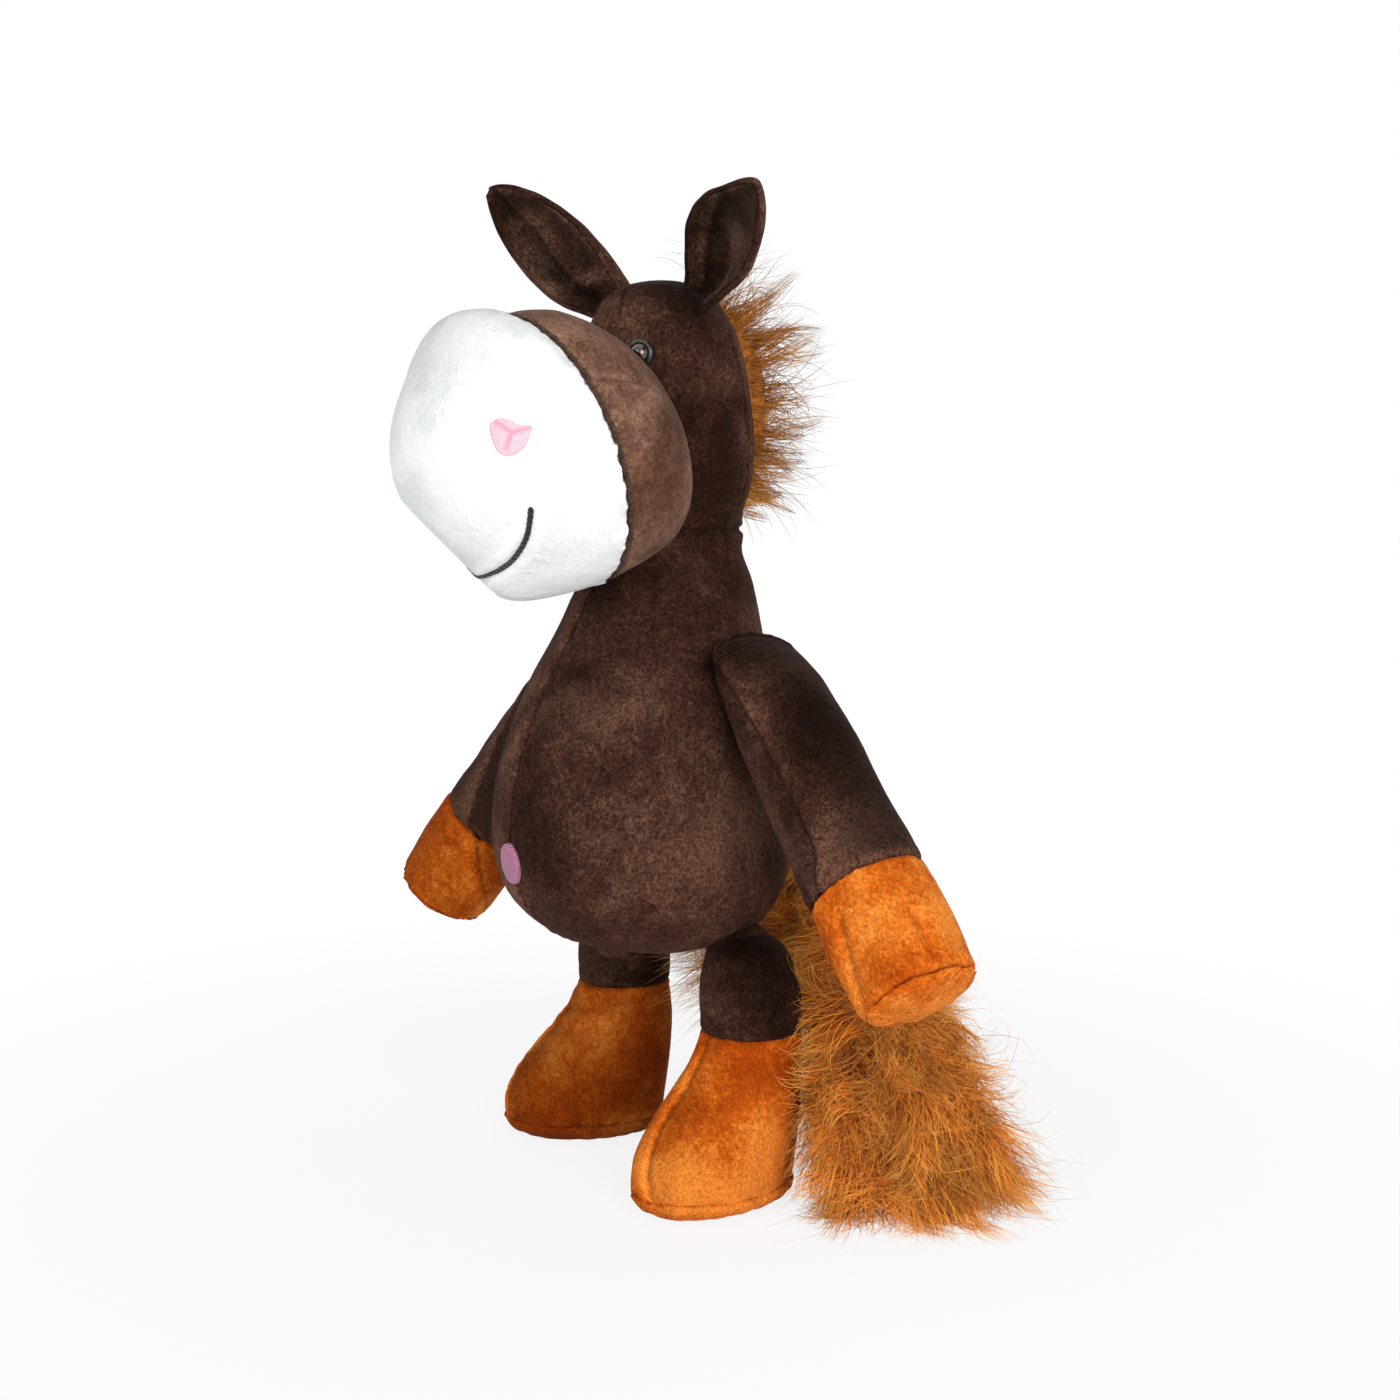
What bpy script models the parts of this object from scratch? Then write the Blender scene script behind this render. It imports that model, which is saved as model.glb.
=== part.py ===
# A stuffed toy horse that stands upright on two padded hooves.
# Every cover with its filling is one closed soft form. The horse faces -Y, and its own left side is +X.
# The frame's origin is on the floor under the middle of the toy.
import math

import bmesh
import bpy
from mathutils import Matrix, Vector

# Shared sizes, in metres
seam_gap = 0.0003
smooth_levels = 2
edge_levels = 1
cage_sides = 8
limb_sides = 10

# Torso: a pear between the hips and the neck seam
torso_bottom = 0.070
neck_height = 0.206
torso_half_width = 0.0485
torso_half_depth = 0.0480
torso_lean = 0.0080
neck_back = 0.0050
neck_radius = 0.0240
# Rows of a form: how far along it, how wide, how deep and how far it leans, each a share of its own size
torso_row_shares = (
    (0.000, 0.00, 0.00, 0.55),
    (0.040, 0.64, 0.62, 0.55),
    (0.150, 1.02, 1.00, 0.92),
    (0.360, 1.03, 1.04, 1.05),
    (0.580, 0.91, 0.92, 0.80),
    (0.780, 0.70, 0.68, 0.10),
)

# Embroidered oval on the belly, above the torso's bottom
belly_patch_rise = 0.035
belly_patch_half_width = 0.0050
belly_patch_half_height = 0.0066
patch_thickness = 0.0007
patch_reach = 0.0060

# Head: an egg that stands on the neck seam, from which its own pieces' heights are taken
head_height = 0.080
head_half_width = 0.0278
head_half_depth = 0.0262
head_lean = 0.0070
head_row_shares = (
    (0.20, 0.98, 0.96, -0.10),
    (0.48, 1.04, 1.02, 0.25),
    (0.78, 0.94, 0.98, 0.75),
    (0.96, 0.58, 0.62, 0.80),
    (1.00, 0.00, 0.00, 0.80),
)

# Muzzle: a ball in two covers, with its seam round the middle and its nose end dipped
muzzle_forward = 0.0425
muzzle_rise = 0.0240
muzzle_radius = 0.0450
muzzle_half_height = 0.0436
muzzle_dip = math.radians(20)
cap_length = 0.0440
band_length = 0.0380
band_sag = 0.0080
cap_lift = 0.0035
band_row_shares = (
    (1.00, 0.00, 0.00, -0.8),
    (0.97, 0.50, 0.48, -0.8),
    (0.74, 0.86, 0.83, -0.6),
    (0.34, 1.04, 1.00, -0.05),
)
cap_row_shares = (
    (0.42, 1.00, 0.98, 0.3),
    (0.80, 0.72, 0.68, 0.9),
    (1.00, 0.36, 0.34, 1.1),
    (1.04, 0.00, 0.00, 1.1),
)

# The muzzle's lower back is hollowed round the neck, so that the head can turn
neck_hollow_shares = ((1.02, 0.0), (1.28, 0.9), (1.64, 2.2), (1.98, 4.0))
neck_hollow_step = 0.0100

# Embroidered nostrils and mouth on the muzzle's cap
nostril_half_width = 0.0056
nostril_half_height = 0.0062
nostril_turn = math.radians(53)
nostril_lift = math.radians(17)
mouth_thread = 0.0009
mouth_half_turn = math.radians(53)
mouth_corner_drop = math.radians(5)
mouth_middle_drop = math.radians(35)
mouth_points = 20

# Safety eyes: a domed head on a shank, a ring round the dome, and a washer pressed on inside the head
eye_turn = math.radians(36)
eye_rise = 0.0540
eye_radius = 0.0029
eye_ring_radius = 0.0043
eye_ring_thickness = 0.0016
eye_dome = 0.0026
shank_radius = 0.0012
shank_length = 0.0080
washer_radius = 0.0050
washer_thickness = 0.0012
washer_depth = 0.0050
running_gap = 0.0004
eye_sides = 16
dome_rings = 5

# Mane: a crest of long pile down the back of the head
mane_half_width = 0.0075
mane_half_depth = 0.0260
mane_half_height = 0.0400
mane_back = 0.0230
mane_rise = 0.0020
mane_row_shares = (
    (0.00, 0.00, 0.00, 0.30),
    (0.10, 0.55, 0.50, 0.20),
    (0.35, 1.00, 0.92, 0.05),
    (0.65, 1.00, 0.95, 0.00),
    (0.90, 0.62, 0.62, -0.20),
    (1.00, 0.00, 0.00, -0.30),
)

# Ears: a cupped leaf of two layers, pinched at its root
ear_length = 0.0660
ear_half_width = 0.0165
ear_thickness = 0.0030
ear_cup = 0.0085
lining_clearance = 0.0011
ear_root_out = 0.0215
ear_root_forward = 0.0010
ear_root_rise = 0.0710
ear_root_tuck = 0.0020
left_ear_splay = math.radians(62)
left_ear_forward = math.radians(18)
left_ear_twist = math.radians(16)
right_ear_splay = math.radians(44)
right_ear_forward = math.radians(21)
right_ear_twist = 0
lining_thickness = 0.0014
lining_inset_share = 0.72
ear_rows = 6
ear_columns = 4
ear_width_shares = (0.34, 0.72, 1.00, 1.02, 0.80, 0.48, 0.16)
ear_cup_shares = (0.35, 0.75, 1.00, 0.95, 0.70, 0.40, 0.10)

# Arms: tubes pinched front to back where they are sewn to the shoulders
shoulder_out = 0.0402
shoulder_back = 0.0065
shoulder_drop = 0.0350
left_arm_splay = math.radians(41.5)
right_arm_splay = math.radians(37.5)
right_arm_forward = math.radians(27)
arm_drop = math.radians(6)
arm_length = 0.0850
arm_half_thickness = 0.0175
arm_half_width = 0.0180
arm_root_radius = 0.0060
arm_root_half_width = 0.0160
arm_root_shares = ((1.12, 0.0, 0.0), (0.80, 0.80, 0.85), (0.0, 1.05, 1.0))
arm_row_shares = (
    (0.18, 0.88, 0.98, 0.0),
    (0.55, 1.02, 1.02, 0.0),
)

# Hands: hoof covers on the arms' ends, closed by a round pad
hand_length = 0.0340
hand_row_shares = (
    (0.50, 1.08, 1.08, 0.0),
)
hand_end_share = 0.98
pad_thickness = 0.0042
pad_row_shares = ((0.7, 0.8, 0.8, 0.0), (1.0, 0.0, 0.0, 0.0))

# Legs: short thighs with a rounded top in the torso's underside
hip_out = 0.0375
hip_back = 0.0085
hip_height = 0.0680
hip_radius = 0.0155
right_foot_turn = math.radians(27)
thigh_radius = 0.0158
ankle_height = 0.0520
thigh_row_shares = (
    (0.30, 1.08, 1.08, 0.0),
)
hip_ball_shares = ((1.085, 0.0), (0.775, 0.775), (0.0, 1.0))

# Feet: boot-shaped hoof covers on flat soles
foot_half_width = 0.0200
foot_half_length = 0.0278
foot_forward = 0.0142
sole_seam_height = 0.0060
foot_row_shares = (
    (0.22, 0.80, 0.68, 0.10),
    (0.52, 0.96, 0.90, 0.60),
    (0.82, 1.06, 1.04, 1.00),
)
sole_row_shares = (
    (0.45, 0.99, 0.99, 1.0),
    (1.00, 0.86, 0.88, 1.0),
)

# Tail: a plush root on the torso's back with a long shaggy tuft that sweeps to the horse's left
tail_back = 0.0486
tail_rise = 0.0300
tail_root_radius = 0.0085
tail_root_reach = 0.0240
tail_root_drop = 0.0130
tail_root_turn = math.radians(38)
dock_ball_shares = ((1.10, 0.0), (0.72, 0.76), (0.0, 1.0))
tail_tip_out = 0.0820
tail_tip_back = 0.0420
tail_tip_height = 0.0012
tuft_half_width = 0.0310
tuft_half_depth = 0.0150
tuft_row_shares = (
    (0.00, 0.26, 0.52, 0.00),
    (0.20, 0.50, 0.80, 0.30),
    (0.55, 0.86, 1.00, 0.60),
    (0.88, 1.02, 1.05, 0.30),
    (1.00, 0.86, 0.80, 0.00),
)

# The frame's origin is under the middle of the toy's length and of the spread of its hands
def hand_reach(splay, forward):
    along = (arm_length + hand_length) * math.sin(splay)
    return shoulder_out + along * math.cos(forward) + arm_half_thickness * math.cos(splay)


muzzle_reach = muzzle_forward + muzzle_radius
tail_reach = tail_back + tail_root_reach * math.cos(tail_root_turn) + tail_root_radius
body_back = (muzzle_reach - tail_reach) / 2
right_reach = hand_reach(right_arm_splay, right_arm_forward)
body_aside = (right_reach - hand_reach(left_arm_splay, 0)) / 2

# Colours as linear red, green and blue, with roughness
brown_plush = ("brown_plush", (0.062, 0.031, 0.020), 0.85)
brown_lining = ("brown_lining", (0.085, 0.038, 0.024), 0.85)
white_plush = ("white_plush", (0.86, 0.88, 0.88), 0.85)
orange_plush = ("orange_plush", (0.54, 0.15, 0.018), 0.80)
golden_pile = ("golden_pile", (0.42, 0.12, 0.018), 0.75)
pink_thread = ("pink_thread", (0.90, 0.42, 0.50), 0.60)
mauve_thread = ("mauve_thread", (0.45, 0.12, 0.30), 0.60)
black_thread = ("black_thread", (0.010, 0.010, 0.012), 0.50)
black_plastic = ("black_plastic", (0.008, 0.008, 0.008), 0.18)
brown_plastic = ("brown_plastic", (0.10, 0.035, 0.012), 0.10)
white_plastic = ("white_plastic", (0.80, 0.80, 0.78), 0.35)


def clear_scene():
    for old in list(bpy.data.objects):
        bpy.data.objects.remove(old, do_unlink=True)
    for name in ("plush_horse", "cutters"):
        group = bpy.data.collections.new(name)
        bpy.context.scene.collection.children.link(group)
    bpy.data.collections["cutters"].hide_render = True


def material(values):
    name, colour, roughness = values
    if name in bpy.data.materials:
        return bpy.data.materials[name]
    made = bpy.data.materials.new(name)
    made.use_nodes = True
    shader = made.node_tree.nodes["Principled BSDF"]
    shader.inputs["Base Color"].default_value = (*colour, 1)
    shader.inputs["Roughness"].default_value = roughness
    shader.inputs["Metallic"].default_value = 0
    made.diffuse_color = (*colour, 1)
    return made


def pivot(name, place, parent=None):
    """An empty on a joint's axis, or at a form's seat."""
    made = bpy.data.objects.new(name, None)
    made.location = place
    made.parent = parent
    bpy.data.collections["plush_horse"].objects.link(made)
    return made


def add(name, mesh, look, parent=None, group="plush_horse"):
    made = bpy.data.objects.new(name, mesh)
    bpy.data.collections[group].objects.link(made)
    made.parent = parent
    mesh.materials.append(material(look))
    mesh.shade_smooth()
    return made


def mesh_of(name, bm):
    bmesh.ops.recalc_face_normals(bm, faces=bm.faces)
    if bm.calc_volume(signed=True) < 0:
        bmesh.ops.reverse_faces(bm, faces=bm.faces)
    mesh = bpy.data.meshes.new(name)
    bm.to_mesh(mesh)
    bm.free()
    return mesh


def smooth(made, levels):
    soften = made.modifiers.new("soften", "SUBSURF")
    soften.levels = levels
    soften.render_levels = levels
    return made


def cage(name, rows, sides=cage_sides):
    """A coarse sphere with each of its rings moved to a row of (height, half width, half depth, y).
    A first or last ring level with its pole closes the form with a flat face."""
    bm = bmesh.new()
    last = len(rows) - 1
    bmesh.ops.create_uvsphere(bm, u_segments=sides, v_segments=last, radius=1)
    crease = bm.edges.layers.float.new("crease_edge")
    ring_of = {}
    swell = 3 / (2 + math.cos(math.tau / sides))
    for vert in bm.verts:
        ring = round(math.acos(max(-1, min(1, vert.co.z))) / math.pi * last)
        around = math.atan2(vert.co.y, vert.co.x)
        height, wide, deep, y = rows[ring]
        ring_of[vert] = ring
        vert.co = (
            wide * swell * math.cos(around),
            y + deep * swell * math.sin(around),
            height,
        )
    for pole, ring in ((0, 1), (last, last - 1)):
        if rows[pole][0] != rows[ring][0]:
            continue
        for edge in bm.edges:
            if all(ring_of[vert] == ring for vert in edge.verts):
                edge[crease] = 1
        centre = [vert for vert in bm.verts if ring_of[vert] == pole]
        bmesh.ops.dissolve_verts(bm, verts=centre)
        ring_of = {vert: ring_of[vert] for vert in bm.verts}
    return mesh_of(name, bm)


def rows_from(shares, length, wide, deep, lean):
    return [(length * a, wide * w, deep * d, lean * y) for a, w, d, y in shares]


def level_end(height, wide, deep, y):
    """The two rows that close a form with a flat face."""
    return [(height, wide, deep, y), (height, 0, 0, y)]


def evaluated_copy(source, name, grow=0):
    """A mesh object like source as it stands, moved out along its normals by grow."""
    bpy.context.view_layer.update()
    graph = bpy.context.evaluated_depsgraph_get()
    mesh = bpy.data.meshes.new_from_object(source.evaluated_get(graph))
    bm = bmesh.new()
    bm.from_mesh(mesh)
    bmesh.ops.remove_doubles(bm, verts=bm.verts, dist=seam_gap / 100)
    bm.normal_update()
    for vert in bm.verts:
        vert.co += vert.normal * grow
    bm.to_mesh(mesh)
    bm.free()
    made = bpy.data.objects.new(name, mesh)
    made.matrix_world = source.matrix_world.copy()
    return made


def hide_cutter(made):
    group = bpy.data.collections["cutters"]
    if made.name not in group.objects:
        group.objects.link(made)
    made.hide_render = True
    made.display_type = "WIRE"
    return made


def cut(made, cutter, operation="DIFFERENCE"):
    away = made.modifiers.new("cut_by_" + cutter.name, "BOOLEAN")
    away.operation = operation
    away.solver = "EXACT"
    away.object = cutter


def grown(source, name="_grown", grow=seam_gap):
    return hide_cutter(evaluated_copy(source, source.name + name, grow))


def patch_layers(source):
    """The two grown copies of a form that a patch on it lies between."""
    return grown(source), grown(source, "_patch_top", seam_gap + patch_thickness)


def rod_cutter(name, radius, half_length, place, parent):
    """A closed round bar along Y."""
    bm = bmesh.new()
    bmesh.ops.create_cone(
        bm,
        cap_ends=True,
        segments=2 * eye_sides,
        radius1=radius,
        radius2=radius,
        depth=2 * half_length,
    )
    turn = Matrix.Rotation(math.pi / 2, 3, "X")
    bmesh.ops.rotate(bm, verts=bm.verts, matrix=turn)
    made = bpy.data.objects.new(name, mesh_of(name, bm))
    made.location = place
    made.parent = parent
    return hide_cutter(made)


def make_torso(body):
    length = neck_height - torso_bottom
    rows = rows_from(
        torso_row_shares, length, torso_half_width, torso_half_depth, -torso_lean
    )
    rows += level_end(length, neck_radius, neck_radius, neck_back)
    torso = add("torso", cage("torso", rows), brown_plush, body)
    torso.location.z = torso_bottom
    return smooth(torso, smooth_levels)


def make_head(neck):
    rows = level_end(seam_gap, neck_radius, neck_radius, 0)[::-1]
    rows += rows_from(
        head_row_shares, head_height, head_half_width, head_half_depth, -head_lean
    )
    head = add("head", cage("head", rows), brown_plush, neck)
    return smooth(head, smooth_levels)


def make_muzzle(nose, head):
    """The ball's two covers along the nose's own +Z, which points forward and dips."""
    rows = rows_from(
        band_row_shares, -band_length, muzzle_radius, muzzle_half_height, band_sag
    )
    rows += level_end(-seam_gap / 2, muzzle_radius, muzzle_half_height, 0)
    band = add("muzzle_band", cage("muzzle_band", rows), brown_plush, nose)
    smooth(band, smooth_levels)
    cut(band, grown(head))
    cut(band, make_neck_hollow(nose.parent))
    rows = level_end(seam_gap / 2, muzzle_radius, muzzle_half_height, 0)[::-1]
    rows += rows_from(
        cap_row_shares, cap_length, muzzle_radius, muzzle_half_height, cap_lift
    )
    cap = add("muzzle_cap", cage("muzzle_cap", rows), white_plush, nose)
    return band, smooth(cap, smooth_levels)


def make_neck_hollow(neck):
    """A flared cutter round the neck's axis, clear of the torso's shoulders at every turn of the head."""
    profile = [(0, neck_hollow_step), (neck_radius, neck_hollow_step)]
    for wide, steps in neck_hollow_shares:
        profile.append((neck_radius * wide + seam_gap, -neck_hollow_step * steps))
    profile.append((0, profile[-1][1]))
    hollow = turned("neck_hollow", profile, brown_plush, neck, "cutters")
    return hide_cutter(hollow)


def nearest(made, place):
    """The point of a form nearest to a world place, and its outward normal there."""
    bpy.context.view_layer.update()
    graph = bpy.context.evaluated_depsgraph_get()
    world = made.matrix_world
    seen = made.evaluated_get(graph)
    _, spot, normal, _ = seen.closest_point_on_mesh(world.inverted() @ place)
    return world @ spot, (world.to_3x3() @ normal).normalized()


def skin_point(made, place, aim):
    """Where the line from a world place to an aim meets a form, and its outward normal there."""
    bpy.context.view_layer.update()
    graph = bpy.context.evaluated_depsgraph_get()
    world = made.matrix_world
    start = world.inverted() @ place
    way = world.inverted() @ aim - start
    _, spot, normal, _ = made.evaluated_get(graph).ray_cast(start, way)
    return world @ spot, (world.to_3x3() @ normal).normalized()


def stand_on(made, spot, normal, upright=Vector((0, 0, 1))):
    """Puts a form's origin on a spot with its +Z along the normal and its +Y towards upright."""
    across = upright.cross(normal).normalized()
    turn = Matrix((across, normal.cross(across), normal)).transposed()
    bpy.context.view_layer.update()
    made.matrix_world = Matrix.Translation(spot) @ turn.to_4x4()


def oval_patch(name, carrier, layers, spot, half_width, half_height, look):
    """A satin-stitched oval: the layer between two grown copies of its carrier, inside an oval outline."""
    bm = bmesh.new()
    bmesh.ops.create_cone(
        bm, cap_ends=True, segments=eye_sides, radius1=1, radius2=1, depth=2 * patch_reach
    )
    stretch = Matrix.Diagonal((half_width, half_height, 1))
    bmesh.ops.transform(bm, verts=bm.verts, matrix=stretch.to_4x4())
    made = add(name, mesh_of(name, bm), look, carrier.parent)
    stand_on(made, *spot)
    under, over = layers
    cut(made, over, "INTERSECT")
    cut(made, under)
    return made


def on_muzzle(nose, turn, lift):
    """A place outside the cap, turned to the horse's left and lifted from the nose's axis."""
    bpy.context.view_layer.update()
    reach = cap_length + muzzle_radius
    aim = Vector(
        (
            math.sin(turn) * math.cos(lift),
            math.sin(lift),
            math.cos(turn) * math.cos(lift),
        )
    )
    return nose.matrix_world @ (aim * reach)


def make_face(nose, cap):
    layers = patch_layers(cap)
    for side, name in ((1, "nostril_left"), (-1, "nostril_right")):
        place = on_muzzle(nose, side * nostril_turn, nostril_lift)
        oval_patch(
            name,
            cap,
            layers,
            skin_point(cap, place, nose.matrix_world.translation),
            nostril_half_width,
            nostril_half_height,
            pink_thread,
        )
    line = bpy.data.curves.new("mouth_line", "CURVE")
    line.dimensions = "3D"
    line.bevel_depth = mouth_thread
    line.bevel_resolution = 1
    line.use_fill_caps = True
    spline = line.splines.new("POLY")
    spline.points.add(mouth_points - 1)
    for number, point in enumerate(spline.points):
        along = 2 * number / (mouth_points - 1) - 1
        drop = mouth_middle_drop + (mouth_corner_drop - mouth_middle_drop) * along**4
        place = on_muzzle(nose, along * mouth_half_turn, -drop)
        spot, normal = skin_point(cap, place, nose.matrix_world.translation)
        thread = spot + normal * (mouth_thread + 2 * seam_gap)
        point.co = (*(nose.matrix_world.inverted() @ thread), 1)
    mouth = bpy.data.objects.new("mouth_line", line)
    mouth.parent = nose
    bpy.data.collections["plush_horse"].objects.link(mouth)
    line.materials.append(material(black_thread))


def turned(name, profile, look, parent=None, group="plush_horse"):
    """A form turned round its own Z from an open profile of (radius, height) that runs down its outside."""
    closed = profile[0] == profile[-1]
    bm = bmesh.new()
    verts = [bm.verts.new((x, 0, z)) for x, z in profile[: len(profile) - closed]]
    for one, two in zip(verts, verts[1:] + verts[:closed]):
        bm.edges.new((one, two))
    mesh = bpy.data.meshes.new(name)
    bm.to_mesh(mesh)
    bm.free()
    made = add(name, mesh, look, parent, group)
    screw = made.modifiers.new("turn", "SCREW")
    screw.steps = eye_sides
    screw.render_steps = eye_sides
    screw.use_merge_vertices = True
    screw.merge_threshold = seam_gap / 10
    return made


def dome_profile(radius, rise, points):
    """From the crown down to the rim of a domed head."""
    steps = [n / points * math.pi / 2 for n in range(points + 1)]
    return [(radius * math.sin(a), rise * math.cos(a)) for a in steps]


def make_eye(side, name, head, band):
    """The dome's rim lies in a ring on the cover, and its shank runs in a bore to a washer."""
    bpy.context.view_layer.update()
    turn = Vector((side * math.sin(eye_turn), -math.cos(eye_turn), 0))
    centre = head.matrix_world.translation.copy()
    centre.z += eye_rise
    spot, normal = skin_point(head, centre + turn * 2 * head_half_width, centre)
    rim = eye_ring_thickness / 2
    profile = dome_profile(eye_radius, eye_dome, dome_rings)
    profile += [(eye_radius, -rim), (shank_radius, -rim)]
    profile += [(shank_radius, -shank_length), (0, -shank_length)]
    neck = head.parent
    eye = turned("eye_" + name, profile, brown_plastic, neck)
    inner = eye_radius + running_gap
    half = eye_ring_thickness / 2
    ring_profile = [
        (inner, half),
        (eye_ring_radius - half, half),
        (eye_ring_radius, 0),
        (eye_ring_radius - half, -half),
        (inner, -half),
        (inner, half),
    ]
    ring = turned("eye_ring_" + name, ring_profile, black_plastic, neck)
    top = -washer_depth
    bottom = top - washer_thickness
    bore = shank_radius + running_gap
    washer_profile = [
        (bore, top),
        (washer_radius, top),
        (washer_radius, bottom),
        (bore, bottom),
        (bore, top),
    ]
    washer = turned("eye_washer_" + name, washer_profile, white_plastic, neck)
    wide = washer_radius + seam_gap
    deep = -shank_length - seam_gap
    seat = eye_ring_radius + seam_gap
    pocket_profile = [
        (0, 2 * eye_dome),
        (seat, 2 * eye_dome),
        (seat, -half - seam_gap),
        (bore, -half - seam_gap),
        (bore, top + seam_gap),
        (wide, top + seam_gap),
        (wide, deep),
        (0, deep),
    ]
    pocket = turned("eye_pocket_" + name, pocket_profile, black_plastic, neck, "cutters")
    hide_cutter(pocket)
    lifted = spot + normal * half
    for piece in (eye, ring, washer, pocket):
        stand_on(piece, lifted, normal)
    cut(head, pocket)
    cut(band, pocket)


def make_mane(neck, head):
    rows = rows_from(
        mane_row_shares,
        2 * mane_half_height,
        mane_half_width,
        mane_half_depth,
        mane_back,
    )
    mane = add("mane", cage("mane", rows), golden_pile, neck)
    mane.location = (0, mane_back, mane_rise)
    smooth(mane, edge_levels)
    cut(mane, grown(head))
    return mane


def leaf(name, inset):
    """The ear's cupped leaf on its root edge, hollow towards -Y, or a smaller one of the same cup."""
    bm = bmesh.new()
    bmesh.ops.create_grid(bm, x_segments=ear_columns, y_segments=ear_rows, size=1)
    for vert in bm.verts:
        across = vert.co.x * inset
        row = round((vert.co.y + 1) / 2 * ear_rows)
        along = (1 - inset) / 2 + inset * row / ear_rows
        wide = ear_half_width * ear_width_shares[row]
        deep = ear_cup * ear_cup_shares[row]
        vert.co = (wide * across, deep * (1 - across * across), ear_length * along)
    mesh = bpy.data.meshes.new(name)
    bm.to_mesh(mesh)
    bm.free()
    return mesh


def make_ear(side, name, splay, forward, twist, head):
    """A leaf and its lining that fold about the root's own X, just clear of the head."""
    aim = (side * ear_root_out, -ear_root_forward - neck_back, ear_root_rise)
    neck = head.parent
    spot, normal = nearest(head, neck.matrix_world @ Vector(aim))
    lifted = spot + normal * (ear_thickness / 2 + seam_gap - ear_root_tuck)
    root = pivot("ear_root_" + name, neck.matrix_world.inverted() @ lifted, neck)
    root.rotation_mode = "ZXY"
    root.rotation_euler = (forward, side * splay, side * twist)
    ear = add("ear_" + name, leaf("ear_" + name, 1), brown_plush, root)
    lining_name = "ear_lining_" + name
    lining = add(lining_name, leaf(lining_name, lining_inset_share), brown_lining, root)
    for made, thickness in ((ear, ear_thickness), (lining, lining_thickness)):
        skin = made.modifiers.new("skin", "SOLIDIFY")
        skin.thickness = thickness
        skin.offset = 0
        skin.use_even_offset = True
        smooth(made, edge_levels)
    lining.location.y = -(ear_thickness + lining_thickness) / 2 - lining_clearance
    return root


def limb_piece(name, rows, look, parent):
    """A padded piece of a limb, with limb_sides round it."""
    made = add(name, cage(name, rows, limb_sides), look, parent)
    return smooth(made, edge_levels)


def shoulder_seat(side, name, forward, clear, body):
    """A round hollow along the arm's root, clear of it by a gap."""
    seat = rod_cutter(
        name,
        arm_root_radius + clear,
        arm_root_half_width + clear,
        (side * shoulder_out, shoulder_back, neck_height - shoulder_drop),
        body,
    )
    seat.rotation_euler.z = -side * forward
    return seat


def trim_arm(arm, side, name, forward, torso, seat):
    """Cuts the arm clear of the torso outside its seat, at rest and dropped to its lowest."""
    place = arm.parent.matrix_world.translation
    axis = Vector((math.sin(side * forward), math.cos(forward), 0))
    for number, drop in enumerate((0, arm_drop)):
        bulge = grown(torso, "_by_arm_%s_%d" % (name, number))
        turn = Matrix.Rotation(-side * drop, 4, axis)
        about = Matrix.Translation(place) @ turn @ Matrix.Translation(-place)
        bulge.matrix_world = about @ bulge.matrix_world
        cut(bulge, seat)
        cut(arm, bulge)


def make_arm(side, name, splay, forward, torso):
    """A tube that hangs from a rounded root along Y, with its hoof cover and end pad."""
    body = torso.parent
    shoulder = pivot(
        "shoulder_" + name, (side * shoulder_out, shoulder_back, neck_height - shoulder_drop), body
    )
    shoulder.rotation_euler = (0, -side * splay, -side * forward)
    rows = []
    for up, thick, wide in arm_root_shares:
        rows.append(
            (arm_root_radius * up, arm_root_radius * thick, arm_root_half_width * wide, 0)
        )
    rows += rows_from(arm_row_shares, -arm_length, arm_half_thickness, arm_half_width, 0)
    rows += level_end(-arm_length, arm_half_thickness, arm_half_width, 0)
    arm = limb_piece("arm_" + name, rows, brown_plush, shoulder)
    seat = shoulder_seat(side, "shoulder_hollow_" + name, forward, 0, body)
    trim_arm(arm, side, name, forward, torso, seat)
    wrist = pivot("wrist_" + name, (0, 0, -arm_length - seam_gap), shoulder)
    end_thickness = arm_half_thickness * hand_end_share
    end_width = arm_half_width * hand_end_share
    rows = level_end(0, arm_half_thickness, arm_half_width, 0)[::-1]
    rows += rows_from(
        hand_row_shares, -hand_length, arm_half_thickness, arm_half_width, 0
    )
    rows += level_end(-hand_length, end_thickness, end_width, 0)
    limb_piece("hand_hoof_" + name, rows, orange_plush, wrist)
    rows = level_end(0, end_thickness, end_width, 0)[::-1]
    rows += rows_from(pad_row_shares, -pad_thickness, end_thickness, end_width, 0)
    pad = limb_piece("hand_pad_" + name, rows, orange_plush, wrist)
    pad.location.z = -hand_length - seam_gap


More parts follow.
